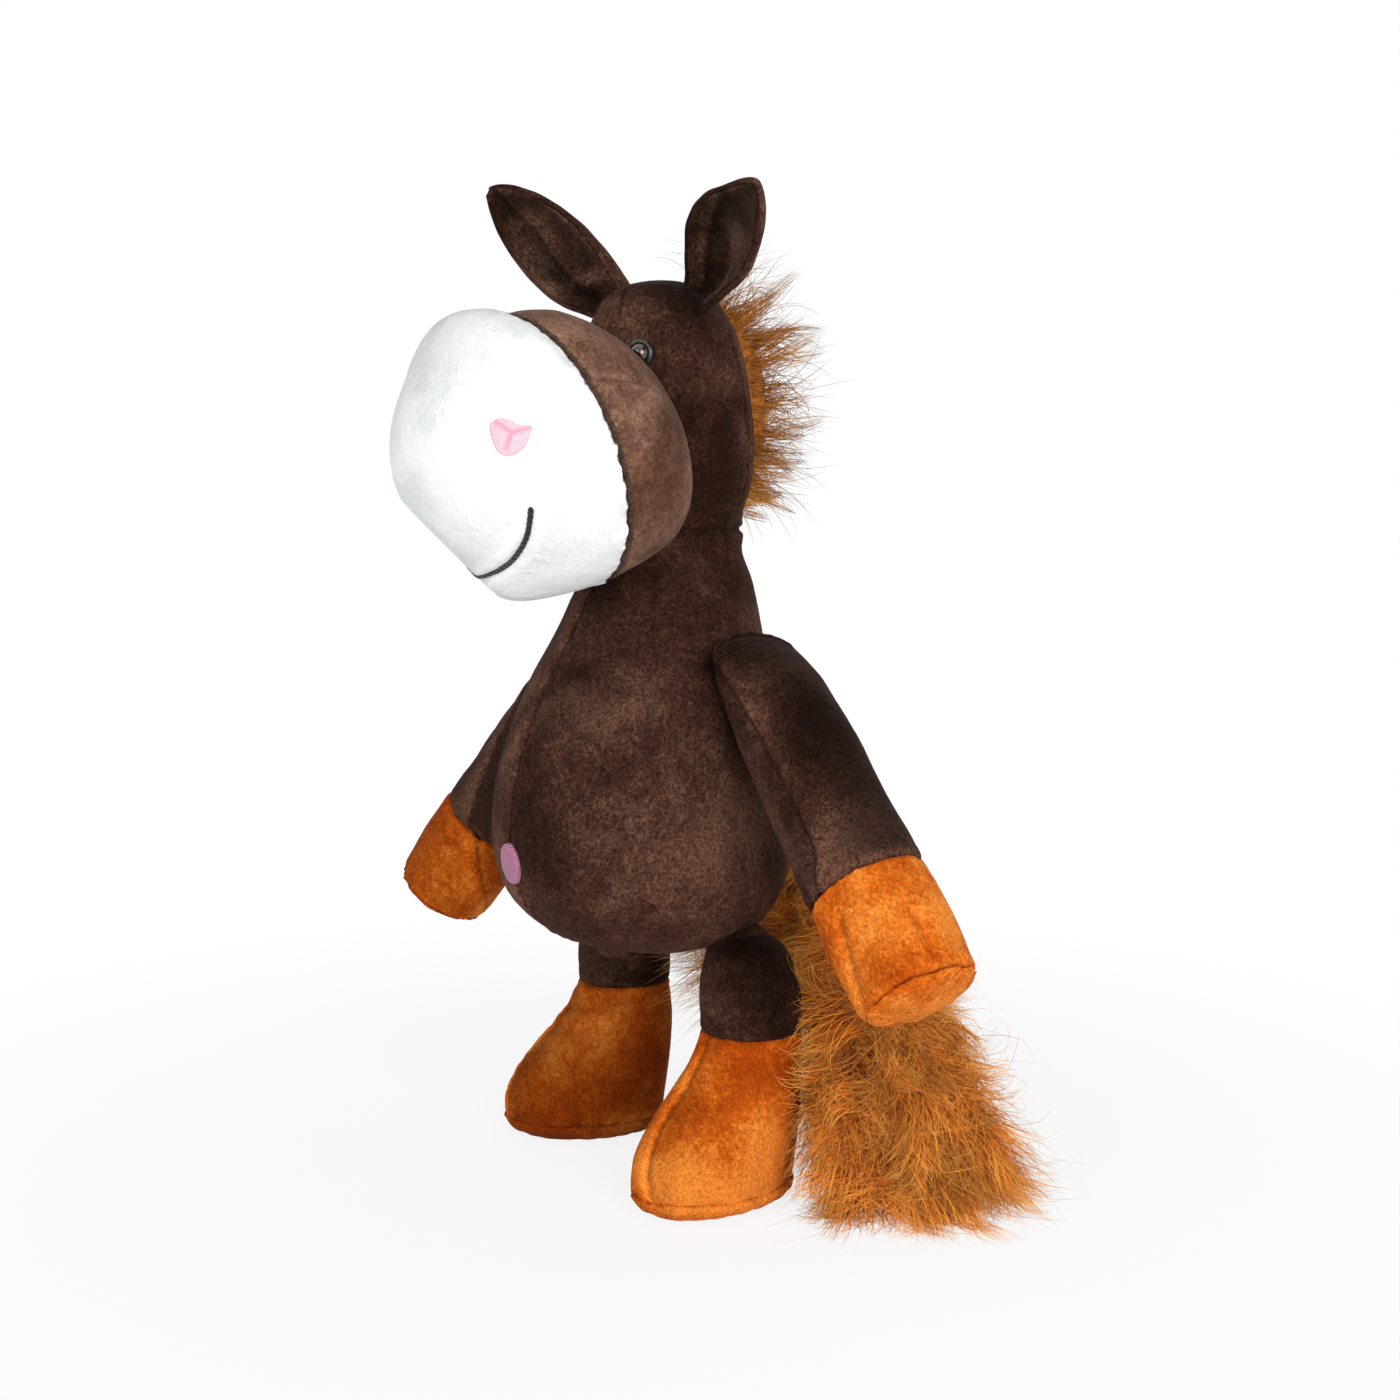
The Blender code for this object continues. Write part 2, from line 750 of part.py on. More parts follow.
def make_leg(side, name, turn, body):
    """A short thigh, its boot-shaped hoof cover and the flat sole."""
    hip = pivot("hip_" + name, (side * hip_out, hip_back, hip_height), body)
    thigh = hip_height - ankle_height
    rows = [(hip_radius * up, hip_radius * out, hip_radius * out, 0) for up, out in hip_ball_shares]
    rows += rows_from(thigh_row_shares, -thigh, thigh_radius, thigh_radius, 0)
    rows += level_end(-thigh, thigh_radius, thigh_radius, 0)
    limb_piece("leg_" + name, rows, brown_plush, hip)
    ankle = pivot("ankle_" + name, (0, 0, -thigh - seam_gap), hip)
    ankle.rotation_euler.z = side * turn
    height = ankle_height - sole_seam_height
    rows = level_end(0, thigh_radius, thigh_radius, 0)[::-1]
    rows += rows_from(
        foot_row_shares, -height, foot_half_width, foot_half_length, -foot_forward
    )
    rows += level_end(-height, foot_half_width, foot_half_length, -foot_forward)
    limb_piece("foot_hoof_" + name, rows, orange_plush, ankle)
    sole_height = sole_seam_height - 2 * seam_gap
    rows = level_end(0, foot_half_width, foot_half_length, -foot_forward)[::-1]
    rows += rows_from(
        sole_row_shares, -sole_height, foot_half_width, foot_half_length, -foot_forward
    )
    rows += [(-sole_height, 0, 0, -foot_forward)]
    sole = limb_piece("sole_" + name, rows, orange_plush, ankle)
    sole.location.z = -height - seam_gap


def make_tail(body):
    """A root with a ball end at the torso's back, and the tuft that fans from it down to the floor."""
    dock_height = torso_bottom + tail_rise
    dock = pivot("tail_dock", (0, tail_back, dock_height), body)
    reach = Vector(
        (
            tail_root_reach * math.sin(tail_root_turn),
            tail_root_reach * math.cos(tail_root_turn),
            -tail_root_drop,
        )
    )
    ball = tail_root_radius
    rows = [(-ball * down, ball * out, ball * out, 0) for down, out in dock_ball_shares]
    rows += level_end(reach.length, ball, ball, 0)
    root = add("tail_root", cage("tail_root", rows), orange_plush, dock)
    root.rotation_euler = reach.to_track_quat("Z", "Y").to_euler()
    smooth(root, edge_levels)
    tip = Vector((tail_tip_out, tail_tip_back - tail_back, tail_tip_height - dock_height))
    fall = tip - reach
    sweep = math.hypot(fall.x, fall.y)
    rows = []
    for down, wide, deep, bow in tuft_row_shares:
        forward = sweep * down + tuft_half_depth * bow
        rows.append((fall.z * down, tuft_half_width * wide, tuft_half_depth * deep, forward))
    rows = level_end(*rows[0])[::-1] + rows[1:-1] + level_end(*rows[-1])
    tuft = add("tail_tuft", cage("tail_tuft", rows, limb_sides), golden_pile, dock)
    tuft.location = reach
    tuft.rotation_euler.z = math.atan2(-fall.x, fall.y)
    smooth(tuft, edge_levels)
    cut(tuft, grown(root))


def cut_seats(torso, body):
    """Shallow hollows in the torso where the arms' and legs' rounded roots are sewn on."""
    for side, name, forward in ((1, "left", 0), (-1, "right", right_arm_forward)):
        cut(torso, shoulder_seat(side, "shoulder_seat_" + name, forward, seam_gap, body))
        bm = bmesh.new()
        bmesh.ops.create_uvsphere(
            bm,
            u_segments=2 * eye_sides,
            v_segments=eye_sides,
            radius=hip_radius + seam_gap,
        )
        socket = bpy.data.objects.new("hip_seat_" + name, mesh_of("hip_seat", bm))
        socket.location = (side * hip_out, hip_back, hip_height)
        socket.parent = body
        cut(torso, hide_cutter(socket))


clear_scene()
body = pivot("body_axis", (body_aside, body_back, 0))
torso = make_torso(body)
neck = pivot("neck", (0, neck_back, neck_height), body)
head = make_head(neck)
nose = pivot("nose", (0, -muzzle_forward - neck_back, muzzle_rise), neck)
nose.rotation_euler.x = math.pi / 2 + muzzle_dip
band, cap = make_muzzle(nose, head)
make_face(nose, cap)
make_mane(neck, head)
for side, name in ((1, "left"), (-1, "right")):
    make_eye(side, name, head, band)
make_ear(1, "left", left_ear_splay, left_ear_forward, left_ear_twist, head)
make_ear(-1, "right", right_ear_splay, right_ear_forward, right_ear_twist, head)
make_arm(1, "left", left_arm_splay, 0, torso)
make_arm(-1, "right", right_arm_splay, right_arm_forward, torso)
make_leg(1, "left", 0, body)
make_leg(-1, "right", right_foot_turn, body)
belly_axis = Vector((body_aside, body_back, torso_bottom + belly_patch_rise))
belly_front = belly_axis - Vector((0, 2 * torso_half_depth, 0))
oval_patch(
    "belly_patch",
    torso,
    patch_layers(torso),
    skin_point(torso, belly_front, belly_axis),
    belly_patch_half_width,
    belly_patch_half_height,
    mauve_thread,
)
cut_seats(torso, body)
make_tail(body)
bpy.context.view_layer.update()
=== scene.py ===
import math

import bmesh
import bpy
import numpy as np
from mathutils import Matrix, Vector, noise
from mathutils.bvhtree import BVHTree


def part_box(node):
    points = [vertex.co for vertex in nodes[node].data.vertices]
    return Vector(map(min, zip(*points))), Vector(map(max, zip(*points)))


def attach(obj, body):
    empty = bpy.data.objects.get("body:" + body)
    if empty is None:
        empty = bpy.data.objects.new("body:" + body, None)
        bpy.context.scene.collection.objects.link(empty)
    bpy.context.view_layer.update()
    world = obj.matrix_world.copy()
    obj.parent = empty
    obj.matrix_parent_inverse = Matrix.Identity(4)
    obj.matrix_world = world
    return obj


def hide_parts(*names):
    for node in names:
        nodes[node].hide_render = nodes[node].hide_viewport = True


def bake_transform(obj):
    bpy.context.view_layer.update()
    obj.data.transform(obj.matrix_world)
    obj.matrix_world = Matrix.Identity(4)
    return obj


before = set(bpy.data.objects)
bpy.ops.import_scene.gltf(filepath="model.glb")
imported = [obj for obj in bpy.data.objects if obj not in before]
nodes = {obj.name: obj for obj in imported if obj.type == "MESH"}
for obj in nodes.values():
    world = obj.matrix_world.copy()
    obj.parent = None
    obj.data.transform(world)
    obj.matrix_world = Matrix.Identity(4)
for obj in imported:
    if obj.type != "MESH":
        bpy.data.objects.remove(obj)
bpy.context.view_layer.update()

scene = bpy.context.scene
rng = np.random.default_rng(7)
print("frame loaded:", len(nodes), "nodes")

toy = {  # places that several pieces are set out from, in metres
    "spine": -0.00676,  # x of the middle plane
    "nose": Vector((-0.00676, -0.03676, 0.230)),
    "noseOut": Vector((0, -0.9397, -0.3420)),
    "noseUp": Vector((0, -0.3420, 0.9397)),
    "neckBack": 0.01074,
    "hipLeft": Vector((0.03074, 0.01424, 0.068)),
    "hipRight": Vector((-0.04426, 0.01424, 0.068)),
}

shot = {
    "place": Vector((0.4816, -0.3090, 0.2134)),
    "aim": Vector((0.0009, 0.01525, 0.1525)),
    "lens": 46.8,
    "sensor": 36,
    "pixels": 1400,
}


def makeCamera():
    data = bpy.data.cameras.new("camera")
    made = bpy.data.objects.new("camera", data)
    scene.collection.objects.link(made)
    made.location = shot["place"]
    made.rotation_mode = "QUATERNION"
    made.rotation_quaternion = (shot["aim"] - shot["place"]).to_track_quat("-Z", "Y")
    data.lens = shot["lens"]
    data.sensor_width = shot["sensor"]
    data.clip_start = 0.01
    scene.camera = made
    return made


camera = makeCamera()
perPixel = shot["lens"] / shot["sensor"] * shot["pixels"]


def lineOfSight(px, py):  # direction through a point of the 1400 x 1400 frame
    half = shot["pixels"] / 2
    local = Vector(((px - half) / perPixel, (half - py) / perPixel, -1))
    return (camera.rotation_quaternion @ local).normalized()


def onFrame(spot):  # where a point shows in that frame
    half = shot["pixels"] / 2
    local = camera.rotation_quaternion.inverted() @ (Vector(spot) - camera.location)
    return np.array((half - local.x / local.z * perPixel, half + local.y / local.z * perPixel))


def paint(r, g, b):  # screen colour to linear colour
    def straight(c):
        c /= 255
        return c / 12.92 if c <= 0.04045 else ((c + 0.055) / 1.055) ** 2.4

    return (straight(r), straight(g), straight(b), 1)


def startMaterial(name, **sockets):
    made = bpy.data.materials.new(name)
    made.use_nodes = True
    shader = made.node_tree.nodes["Principled BSDF"]
    for key, value in sockets.items():
        shader.inputs[key.replace("_", " ")].default_value = value
    return made, made.node_tree, shader


def put(tree, kind, sockets=(), **settings):
    made = tree.nodes.new(kind)
    for key, value in settings.items():
        setattr(made, key, value)
    for key, value in dict(sockets).items():
        if isinstance(value, bpy.types.NodeSocket):
            tree.links.new(value, made.inputs[key])
        else:
            made.inputs[key].default_value = value
    return made


def speckle(tree, place, scale, detail=2, rough=0.5, distort=0):
    return put(tree, "ShaderNodeTexNoise", {
        "Vector": place, "Scale": scale, "Detail": detail,
        "Roughness": rough, "Distortion": distort,
    }).outputs["Fac"]


def ramp(tree, value, *stops):
    made = put(tree, "ShaderNodeValToRGB", {"Fac": value})
    bar = made.color_ramp.elements
    while len(bar) < len(stops):
        bar.new(0.5)
    for spot, (where, colour) in zip(bar, stops):
        spot.position = where
        spot.color = colour
    return made.outputs["Color"]


def grey(value):
    return (value, value, value, 1)


def maths(tree, what, a, b=0, c=0):
    return put(tree, "ShaderNodeMath", {0: a, 1: b, 2: c}, operation=what).outputs[0]


def blendColours(tree, share, a, b, mode="MIX"):
    return put(tree, "ShaderNodeMix", {0: share, 6: a, 7: b}, data_type="RGBA", blend_type=mode).outputs[2]


def reading(tree, name):
    return put(tree, "ShaderNodeAttribute", attribute_name=name).outputs["Fac"]


def objectPlace(tree):
    return put(tree, "ShaderNodeTexCoord").outputs["Object"]


def addBump(tree, shader, height, strength, distance):
    bump = put(tree, "ShaderNodeBump", {"Strength": strength, "Distance": distance, "Height": height})
    tree.links.new(bump.outputs[0], shader.inputs["Normal"])


def plush(name, finish):  # short pile: cloudy patches where it lies over, brushed strokes, single tufts
    made, tree, shader = startMaterial(
        name, Specular_IOR_Level=0.04, Sheen_Weight=finish["sheen"],
        Sheen_Roughness=0.35, Sheen_Tint=finish["sheenTint"],
    )
    place = objectPlace(tree)
    patches = speckle(tree, place, finish["patch"], 3, 0.5, 0.3)
    strokes = speckle(tree, place, finish["patch"] * 6, 3, 0.65, 1.2)
    tufts = speckle(tree, place, 560, 3, 0.7, 0.8)
    pile = speckle(tree, place, 1050, 2, 0.75)
    lie = maths(tree, "MULTIPLY_ADD", patches, 0.60, maths(tree, "MULTIPLY", strokes, 0.16))
    lie = maths(tree, "MULTIPLY_ADD", tufts, 0.24, lie)
    wide = finish.get("contrast", 0.085)
    colour = ramp(tree, lie, (0.5 - wide, finish["low"]), (0.5, finish["mid"]), (0.5 + wide, finish["high"]))
    deep = finish.get("grain", 0.56)
    grain = ramp(tree, pile, (0.33, grey(1 - deep)), (0.66, grey(1 + deep)))
    colour = blendColours(tree, 1.0, colour, grain, "MULTIPLY")
    # marks of the pile laid another way, with painted light and shade: darker on the far side and on faces
    # that look up, lighter or darker strips beside seams
    napAndShadingTone = maths(tree, "MULTIPLY_ADD", reading(tree, "napAndShading"), 0.5, 0.5)
    napAndShadingTone = ramp(tree, napAndShadingTone, (0, grey(0.32)), (0.5, grey(1)), (1, grey(1.75)))
    colour = blendColours(tree, 1.0, colour, napAndShadingTone, "MULTIPLY")
    seam = maths(tree, "MULTIPLY", reading(tree, "seam"), finish["seamDepth"])
    colour = blendColours(tree, seam, colour, finish["seam"])
    tree.links.new(colour, shader.inputs["Base Color"])
    height = maths(tree, "MULTIPLY_ADD", pile, 0.5, maths(tree, "MULTIPLY", tufts, 0.9))
    height = maths(tree, "MULTIPLY_ADD", strokes, 0.8, height)
    addBump(tree, shader, height, finish.get("bump", 0.75), 0.0008)
    tree.links.new(maths(tree, "MULTIPLY_ADD", strokes, 0.3, 0.68), shader.inputs["Roughness"])
    return made


finishes = {
    "brownPlush": {
        "low": paint(36, 19, 12), "mid": paint(59, 36, 27), "high": paint(90, 62, 49),
        "seam": paint(16, 8, 5), "seamDepth": 0.8, "patch": 22, "sheen": 0.06,
        "sheenTint": (0.62, 0.44, 0.36, 1),
    },
    # the muzzle band is the same brown plush made lighter: partly its pile laid another way, partly painted
    # light where it faces the lamps
    "litBrownBand": {
        "low": paint(76, 49, 37), "mid": paint(102, 71, 56), "high": paint(136, 102, 84),
        "seam": paint(26, 15, 10), "seamDepth": 0.7, "patch": 30, "sheen": 0.16, "grain": 0.30,
        "sheenTint": (0.72, 0.54, 0.44, 1),
    },
    "brownLining": {
        "low": paint(38, 22, 15), "mid": paint(62, 40, 30), "high": paint(96, 69, 56),
        "seam": paint(16, 8, 6), "seamDepth": 0.8, "patch": 50, "sheen": 0.08,
        "sheenTint": (0.65, 0.50, 0.42, 1),
    },
    "whitePlush": {
        "low": paint(228, 232, 232), "mid": paint(240, 243, 242), "high": paint(247, 249, 248),
        "seam": paint(150, 148, 146), "seamDepth": 0.6, "patch": 50, "sheen": 0.06,
        "sheenTint": (1, 1, 1, 1), "grain": 0.045, "bump": 0.5,
    },
    "orangePlush": {
        "low": paint(158, 64, 7), "mid": paint(190, 90, 18), "high": paint(222, 128, 48),
        "seam": paint(92, 32, 6), "seamDepth": 0.6, "patch": 34, "sheen": 0.05,
        "sheenTint": (1, 0.62, 0.36, 1), "grain": 0.30,
    },
}
plushes = {name: plush(name, finish) for name, finish in finishes.items()}


def makePile(name, finish):  # fur: each strand goes from its root colour to its tip colour
    made, tree, shader = startMaterial(
        name, Specular_IOR_Level=0.25, Sheen_Weight=finish["sheen"], Sheen_Tint=(1, 0.84, 0.62, 1),
    )
    stops = [(where, finish[key]) for where, key in ((0, "root"), (0.35, "mid"), (0.78, "end"), (1, "tip"))]
    length = ramp(tree, reading(tree, "along"), *stops)
    toned = ramp(tree, reading(tree, "tone"),
                 (0, (0.42, 0.31, 0.20, 1)), (0.5, grey(1)), (1, (1.42, 1.50, 1.60, 1)))
    colour = blendColours(tree, 1.0, length, toned, "MULTIPLY")
    place = objectPlace(tree)
    cloud = speckle(tree, place, 80, 3, 0.6, 0.5)
    shade = ramp(tree, cloud, (0.35, (0.84, 0.76, 0.66, 1)), (0.65, grey(1.12)))
    colour = blendColours(tree, 0.8, colour, shade, "MULTIPLY")
    tree.links.new(colour, shader.inputs["Base Color"])
    grain = speckle(tree, place, 2500, 1)
    addBump(tree, shader, grain, 0.2, 0.0002)
    tree.links.new(maths(tree, "MULTIPLY_ADD", grain, 0.3, 0.4), shader.inputs["Roughness"])
    return made


piles = {
    "goldenPile": {
        "root": paint(212, 104, 16), "mid": paint(248, 152, 38), "end": paint(252, 186, 84),
        "tip": paint(140, 88, 40), "sheen": 0.10,
    },
    "manePile": {
        "root": paint(182, 104, 18), "mid": paint(214, 142, 44), "end": paint(206, 144, 62),
        "tip": paint(104, 68, 34), "sheen": 0.10,
    },
    "brownPile": {
        "root": paint(58, 38, 28), "mid": paint(80, 56, 44), "end": paint(98, 70, 58),
        "tip": paint(112, 84, 70), "sheen": 0.2,
    },
}
goldenPile, manePile, brownPile = (makePile(name, finish) for name, finish in piles.items())

studio = {
    "paper": (grey(0.885), grey(0.905)),
    "lift": (0.84, 1.0),  # share of plain white that the camera sees: under the toy, and away from it
    "reach": (0.13, 0.42),
    "world": 0.44,
    "middle": Vector((0, 0, 0.15)),  # what the lamps point at
    "floor": (3, -0.0004),  # half its side, and its height
    "lamps": [
        # name, place, size, watts
        ("key", (1.05, -0.22, 0.42), 0.7, 8.0),
        ("fill", (0.30, -1.05, 0.55), 0.8, 3.8),
        ("back", (-0.50, 0.90, 0.90), 0.9, 2.0),
    ],
}


def seenPlainly(tree):  # 1 for the camera and for what shows in gloss or through glass
    path = put(tree, "ShaderNodeLightPath")
    seen = maths(tree, "MAXIMUM", path.outputs["Is Camera Ray"], path.outputs["Is Glossy Ray"])
    return maths(tree, "MAXIMUM", seen, path.outputs["Is Transmission Ray"])


def makeStage():
    made, tree, shader = startMaterial("floorPaper", Specular_IOR_Level=0.1)
    place = objectPlace(tree)
    fibre = speckle(tree, place, 600, 2)
    low, high = studio["paper"]
    tree.links.new(ramp(tree, fibre, (0.3, low), (0.7, high)), shader.inputs["Base Color"])
    addBump(tree, shader, speckle(tree, place, 900, 2), 0.1, 0.0002)
    tree.links.new(maths(tree, "MULTIPLY_ADD", fibre, 0.1, 0.85), shader.inputs["Roughness"])
    far = put(tree, "ShaderNodeVectorMath", {0: place}, operation="LENGTH").outputs["Value"]
    lift = put(tree, "ShaderNodeMapRange", {
        "Value": far, "From Min": studio["reach"][0], "From Max": studio["reach"][1],
        "To Min": studio["lift"][0], "To Max": studio["lift"][1],
    }, interpolation_type="SMOOTHSTEP").outputs[0]
    white = put(tree, "ShaderNodeEmission", {"Color": grey(1), "Strength": 1.0})
    mixed = put(tree, "ShaderNodeMixShader", {
        0: maths(tree, "MULTIPLY", seenPlainly(tree), lift), 1: shader.outputs[0], 2: white.outputs[0],
    })
    tree.links.new(mixed.outputs[0], tree.nodes["Material Output"].inputs["Surface"])
    half, height = studio["floor"]
    mesh = bpy.data.meshes.new("floor")
    shape = bmesh.new()
    bmesh.ops.create_grid(shape, x_segments=8, y_segments=8, size=half)
    shape.to_mesh(mesh)
    shape.free()
    mesh.materials.append(made)
    floor = bpy.data.objects.new("floor", mesh)
    floor.location.z = height
    scene.collection.objects.link(floor)

    world = bpy.data.worlds.new("studio")
    scene.world = world
    world.use_nodes = True
    tree = world.node_tree
    shown = tree.nodes["Background"]
    shown.inputs["Color"].default_value = grey(1)
    strength = maths(tree, "MULTIPLY_ADD", seenPlainly(tree), 1 - studio["world"], studio["world"])
    tree.links.new(strength, shown.inputs["Strength"])

    for name, place, size, watts in studio["lamps"]:
        data = bpy.data.lights.new(name, "AREA")
        data.shape, data.size, data.energy = "DISK", size, watts
        lamp = bpy.data.objects.new(name, data)
        lamp.location = place
        lamp.rotation_mode = "QUATERNION"
        lamp.rotation_quaternion = (studio["middle"] - lamp.location).to_track_quat("-Z", "Y")
        scene.collection.objects.link(lamp)


makeStage()
scene.view_settings.view_transform = "Standard"
print("stage and light ready")


def unit(rows):
    return rows / np.linalg.norm(rows, axis=-1, keepdims=True).clip(1e-12)


def eased(share):
    share = np.clip(share, 0, 1)
    return share * share * (3 - 2 * share)


def curve(keys, at, steps=241, window=17):  # a smooth line through (place, value) pairs
    xs, ys = zip(*keys)
    fine = np.linspace(xs[0], xs[-1], steps)
    values = np.interp(fine, xs, ys)
    padded = np.pad(values, window // 2, mode="reflect", reflect_type="odd")
    return np.interp(at, fine, np.convolve(padded, np.ones(window) / window, mode="valid"))


def solidOf(name):  # welded points and faces of a CAD node
    mesh = nodes[name].data
    spots = np.array([v.co for v in mesh.vertices])
    _, first, back = np.unique(np.round(spots, 6), axis=0, return_index=True, return_inverse=True)
    back = back.ravel()
    faces = [[int(back[i]) for i in p.vertices] for p in mesh.polygons]
    return spots[first], [f for f in faces if len(set(f)) == len(f)]


def treeOf(names):  # nearest-point search over some CAD nodes
    spots, faces = [], []
    for name in names:
        own, sides = solidOf(name)
        faces += [[i + len(spots) for i in f] for f in sides]
        spots += [tuple(p) for p in own]
    return BVHTree.FromPolygons(spots, faces)


def toObject(name, spots, faces):
    mesh = bpy.data.meshes.new(name)
    mesh.from_pydata([tuple(p) for p in spots], [], [tuple(f) for f in faces])
    mesh.shade_smooth()
    made = bpy.data.objects.new(name, mesh)
    scene.collection.objects.link(made)
    return made


def turnedOut(piece):  # every face looks outwards
    shape = bmesh.new()
    shape.from_mesh(piece.data)
    bmesh.ops.recalc_face_normals(shape, faces=shape.faces)
    shape.to_mesh(piece.data)
    shape.free()
    piece.data.shade_smooth()
    return piece


def pointsOf(piece):
    flat = np.empty(len(piece.data.vertices) * 3)
    piece.data.vertices.foreach_get("co", flat)
    return flat.reshape(-1, 3)


def movePoints(piece, spots):
    piece.data.vertices.foreach_set("co", np.asarray(spots, float).ravel())
    piece.data.update()


def normalsOf(piece):
    flat = np.empty(len(piece.data.vertices) * 3)
    piece.data.vertices.foreach_get("normal", flat)
    return flat.reshape(-1, 3)


def applied(piece):  # every modifier into the mesh
    bpy.context.view_layer.update()
    ready = piece.evaluated_get(bpy.context.evaluated_depsgraph_get())
    mesh = bpy.data.meshes.new_from_object(ready)
    piece.modifiers.clear()
    old = piece.data
    piece.data = mesh
    bpy.data.meshes.remove(old)
    mesh.shade_smooth()
    return piece


def remeshed(piece, voxel):
    step = piece.modifiers.new("remesh", "REMESH")
    step.mode, step.voxel_size = "VOXEL", voxel
    return applied(piece)


def subdivided(piece):
    step = piece.modifiers.new("finer", "SUBSURF")
    step.levels = step.render_levels = 1
    return applied(piece)


def relaxed(piece, rounds, held=None):  # even smoothing that keeps the volume
    spots = pointsOf(piece)
    edges = np.array([e.vertices[:] for e in piece.data.edges])
    count = np.bincount(edges.ravel(), minlength=len(spots))[:, None].clip(1)
    free = 1 if held is None else (1 - held)[:, None]
    for turn in range(rounds * 2):
        total = np.zeros_like(spots)
        np.add.at(total, edges[:, 0], spots[edges[:, 1]])
        np.add.at(total, edges[:, 1], spots[edges[:, 0]])
        spots += (total / count - spots) * (0.5 if turn % 2 == 0 else -0.52) * free
    movePoints(piece, spots)
    return piece


def distances(spots, tree):
    return np.array([tree.find_nearest(Vector(p))[3] or 0 for p in spots])


def mark(piece, name, values):
    made = piece.data.attributes.get(name) or piece.data.attributes.new(name, "FLOAT", "POINT")
    made.data.foreach_set("value", np.asarray(values, np.float32))


def marks(piece, name):
    values = np.zeros(len(piece.data.vertices), np.float32)
    found = piece.data.attributes.get(name)
    if found:
        found.data.foreach_get("value", values)
    return values


def wavy(spots, scale, seed):  # smooth noise from -1 to 1 at each point
    shift = Vector((seed * 3.1, seed * 1.7, seed * 2.3))
    return np.array([noise.noise(Vector(p) * scale + shift) for p in spots])


def coverOf(body, finish, voxel, shrink, cap, fill, lumps, sewn=(), near=()):  # lengths in metres
    return {
        "body": body, "finish": finish, "slot": coverSlots[finish],
        "voxel": voxel,  # size of the faces it is cut in
        "shrink": shrink, "cap": cap,  # how much smaller it starts, and how far a point may swell
        "fill": fill, "lumps": lumps,
        "sewn": list(sewn), "near": list(near),  # nodes that it is sewn to, and others close by
    }


coverSlots = {
    "brownPlush": "brown_plush", "litBrownBand": "brown_plush",
    "whitePlush": "white_plush", "orangePlush": "orange_plush",
}
covers = {
    "torso": coverOf(
        "torso_body", "brownPlush", 0.0027, 0.0009, 0.0022, 0.75, 0.0008,
        near=("arm_left", "arm_right", "leg_left", "leg_right", "tail_root", "head")),
    "head": coverOf(
        "head_body", "brownPlush", 0.0022, 0.0006, 0.0016, 0.8, 0.0005,
        ["muzzle_band"], ("torso", "ear_left", "ear_right", "mane")),
    "muzzle_band": coverOf(
        "head_body", "litBrownBand", 0.0018, 0.0005, 0.0014, 0.8, 0.0005,
        ["muzzle_cap"], ("head", "torso", "eye_ring_left", "eye_ring_right")),
    "muzzle_cap": coverOf("head_body", "whitePlush", 0.0021, 0.0006, 0.0016, 0.85, 0.0004, ["muzzle_band"]),
    "tail_root": coverOf(
        "tail_body", "orangePlush", 0.0013, -0.0024, 0.0012, 0.5, 0.0004, ["tail_tuft"], ["torso"]),
}
for side in ("left", "right"):
    arm, hand, pad, leg, foot, sole = (
        part + side for part in ("arm_", "hand_hoof_", "hand_pad_", "leg_", "foot_hoof_", "sole_"))
    covers[arm] = coverOf(
        arm + "_body", "brownPlush", 0.0020, 0.0010, 0.0012, 0.6, 0.0008, [hand], ["torso"])
    covers[hand] = coverOf(arm + "_body", "orangePlush", 0.0016, 0.0003, 0.0012, 0.65, 0.0006, [arm, pad])
    covers[pad] = coverOf(arm + "_body", "orangePlush", 0.0012, 0.0001, 0.0010, 0.6, 0.0003, [hand])
    covers[leg] = coverOf(
        leg + "_body", "brownPlush", 0.0017, 0.0005, 0.0008, 0.6, 0.0004, [foot], ["torso"])
    covers[foot] = coverOf(leg + "_body", "orangePlush", 0.0017, 0.0004, 0.0014, 0.8, 0.0006, [leg, sole])
    covers[sole] = coverOf(leg + "_body", "orangePlush", 0.0012, 0.0001, 0.0008, 0.7, 0.0002, [foot])
shadedCovers = {  # painted shade: how much darker each of these covers is made, the far limbs most, as they are out of the light
    "arm_right": -0.55, "hand_hoof_right": -0.34, "hand_pad_right": -0.34,
    "leg_left": -0.28, "leg_right": -0.75, "foot_hoof_right": -0.66, "sole_right": -0.66,
}

swelling = {"pressure": 60.0, "frames": 20, "mass": 0.05, "stiff": 3.0, "bend": 0.3}
closing = 0.00022  # how far sewn edges move together over the gap between two solids


def heldShare(spots, tree, full=0.0008, none=0.0035):
    return eased((none - distances(spots, tree)) / (none - full))


def cutOut(name, cover):  # the node's shape a little smaller, in even faces, held where it is sewn
    spots, faces = solidOf(name)
    piece = toObject(name.replace("_", ".") + ".cover", spots, faces)
    mates = treeOf(cover["sewn"] + cover["near"])
    held = heldShare(pointsOf(piece), mates)
    movePoints(piece, pointsOf(piece) - normalsOf(piece) * (cover["shrink"] * (1 - held))[:, None])
    remeshed(piece, cover["voxel"])
    held = heldShare(pointsOf(piece), mates)
    relaxed(piece, 6, held * 0.85)
    piece.vertex_groups.new(name="sewn")
    for i, share in enumerate(held):
        if share > 0.01:
            piece.vertex_groups["sewn"].add([i], float(share), "REPLACE")
    return piece


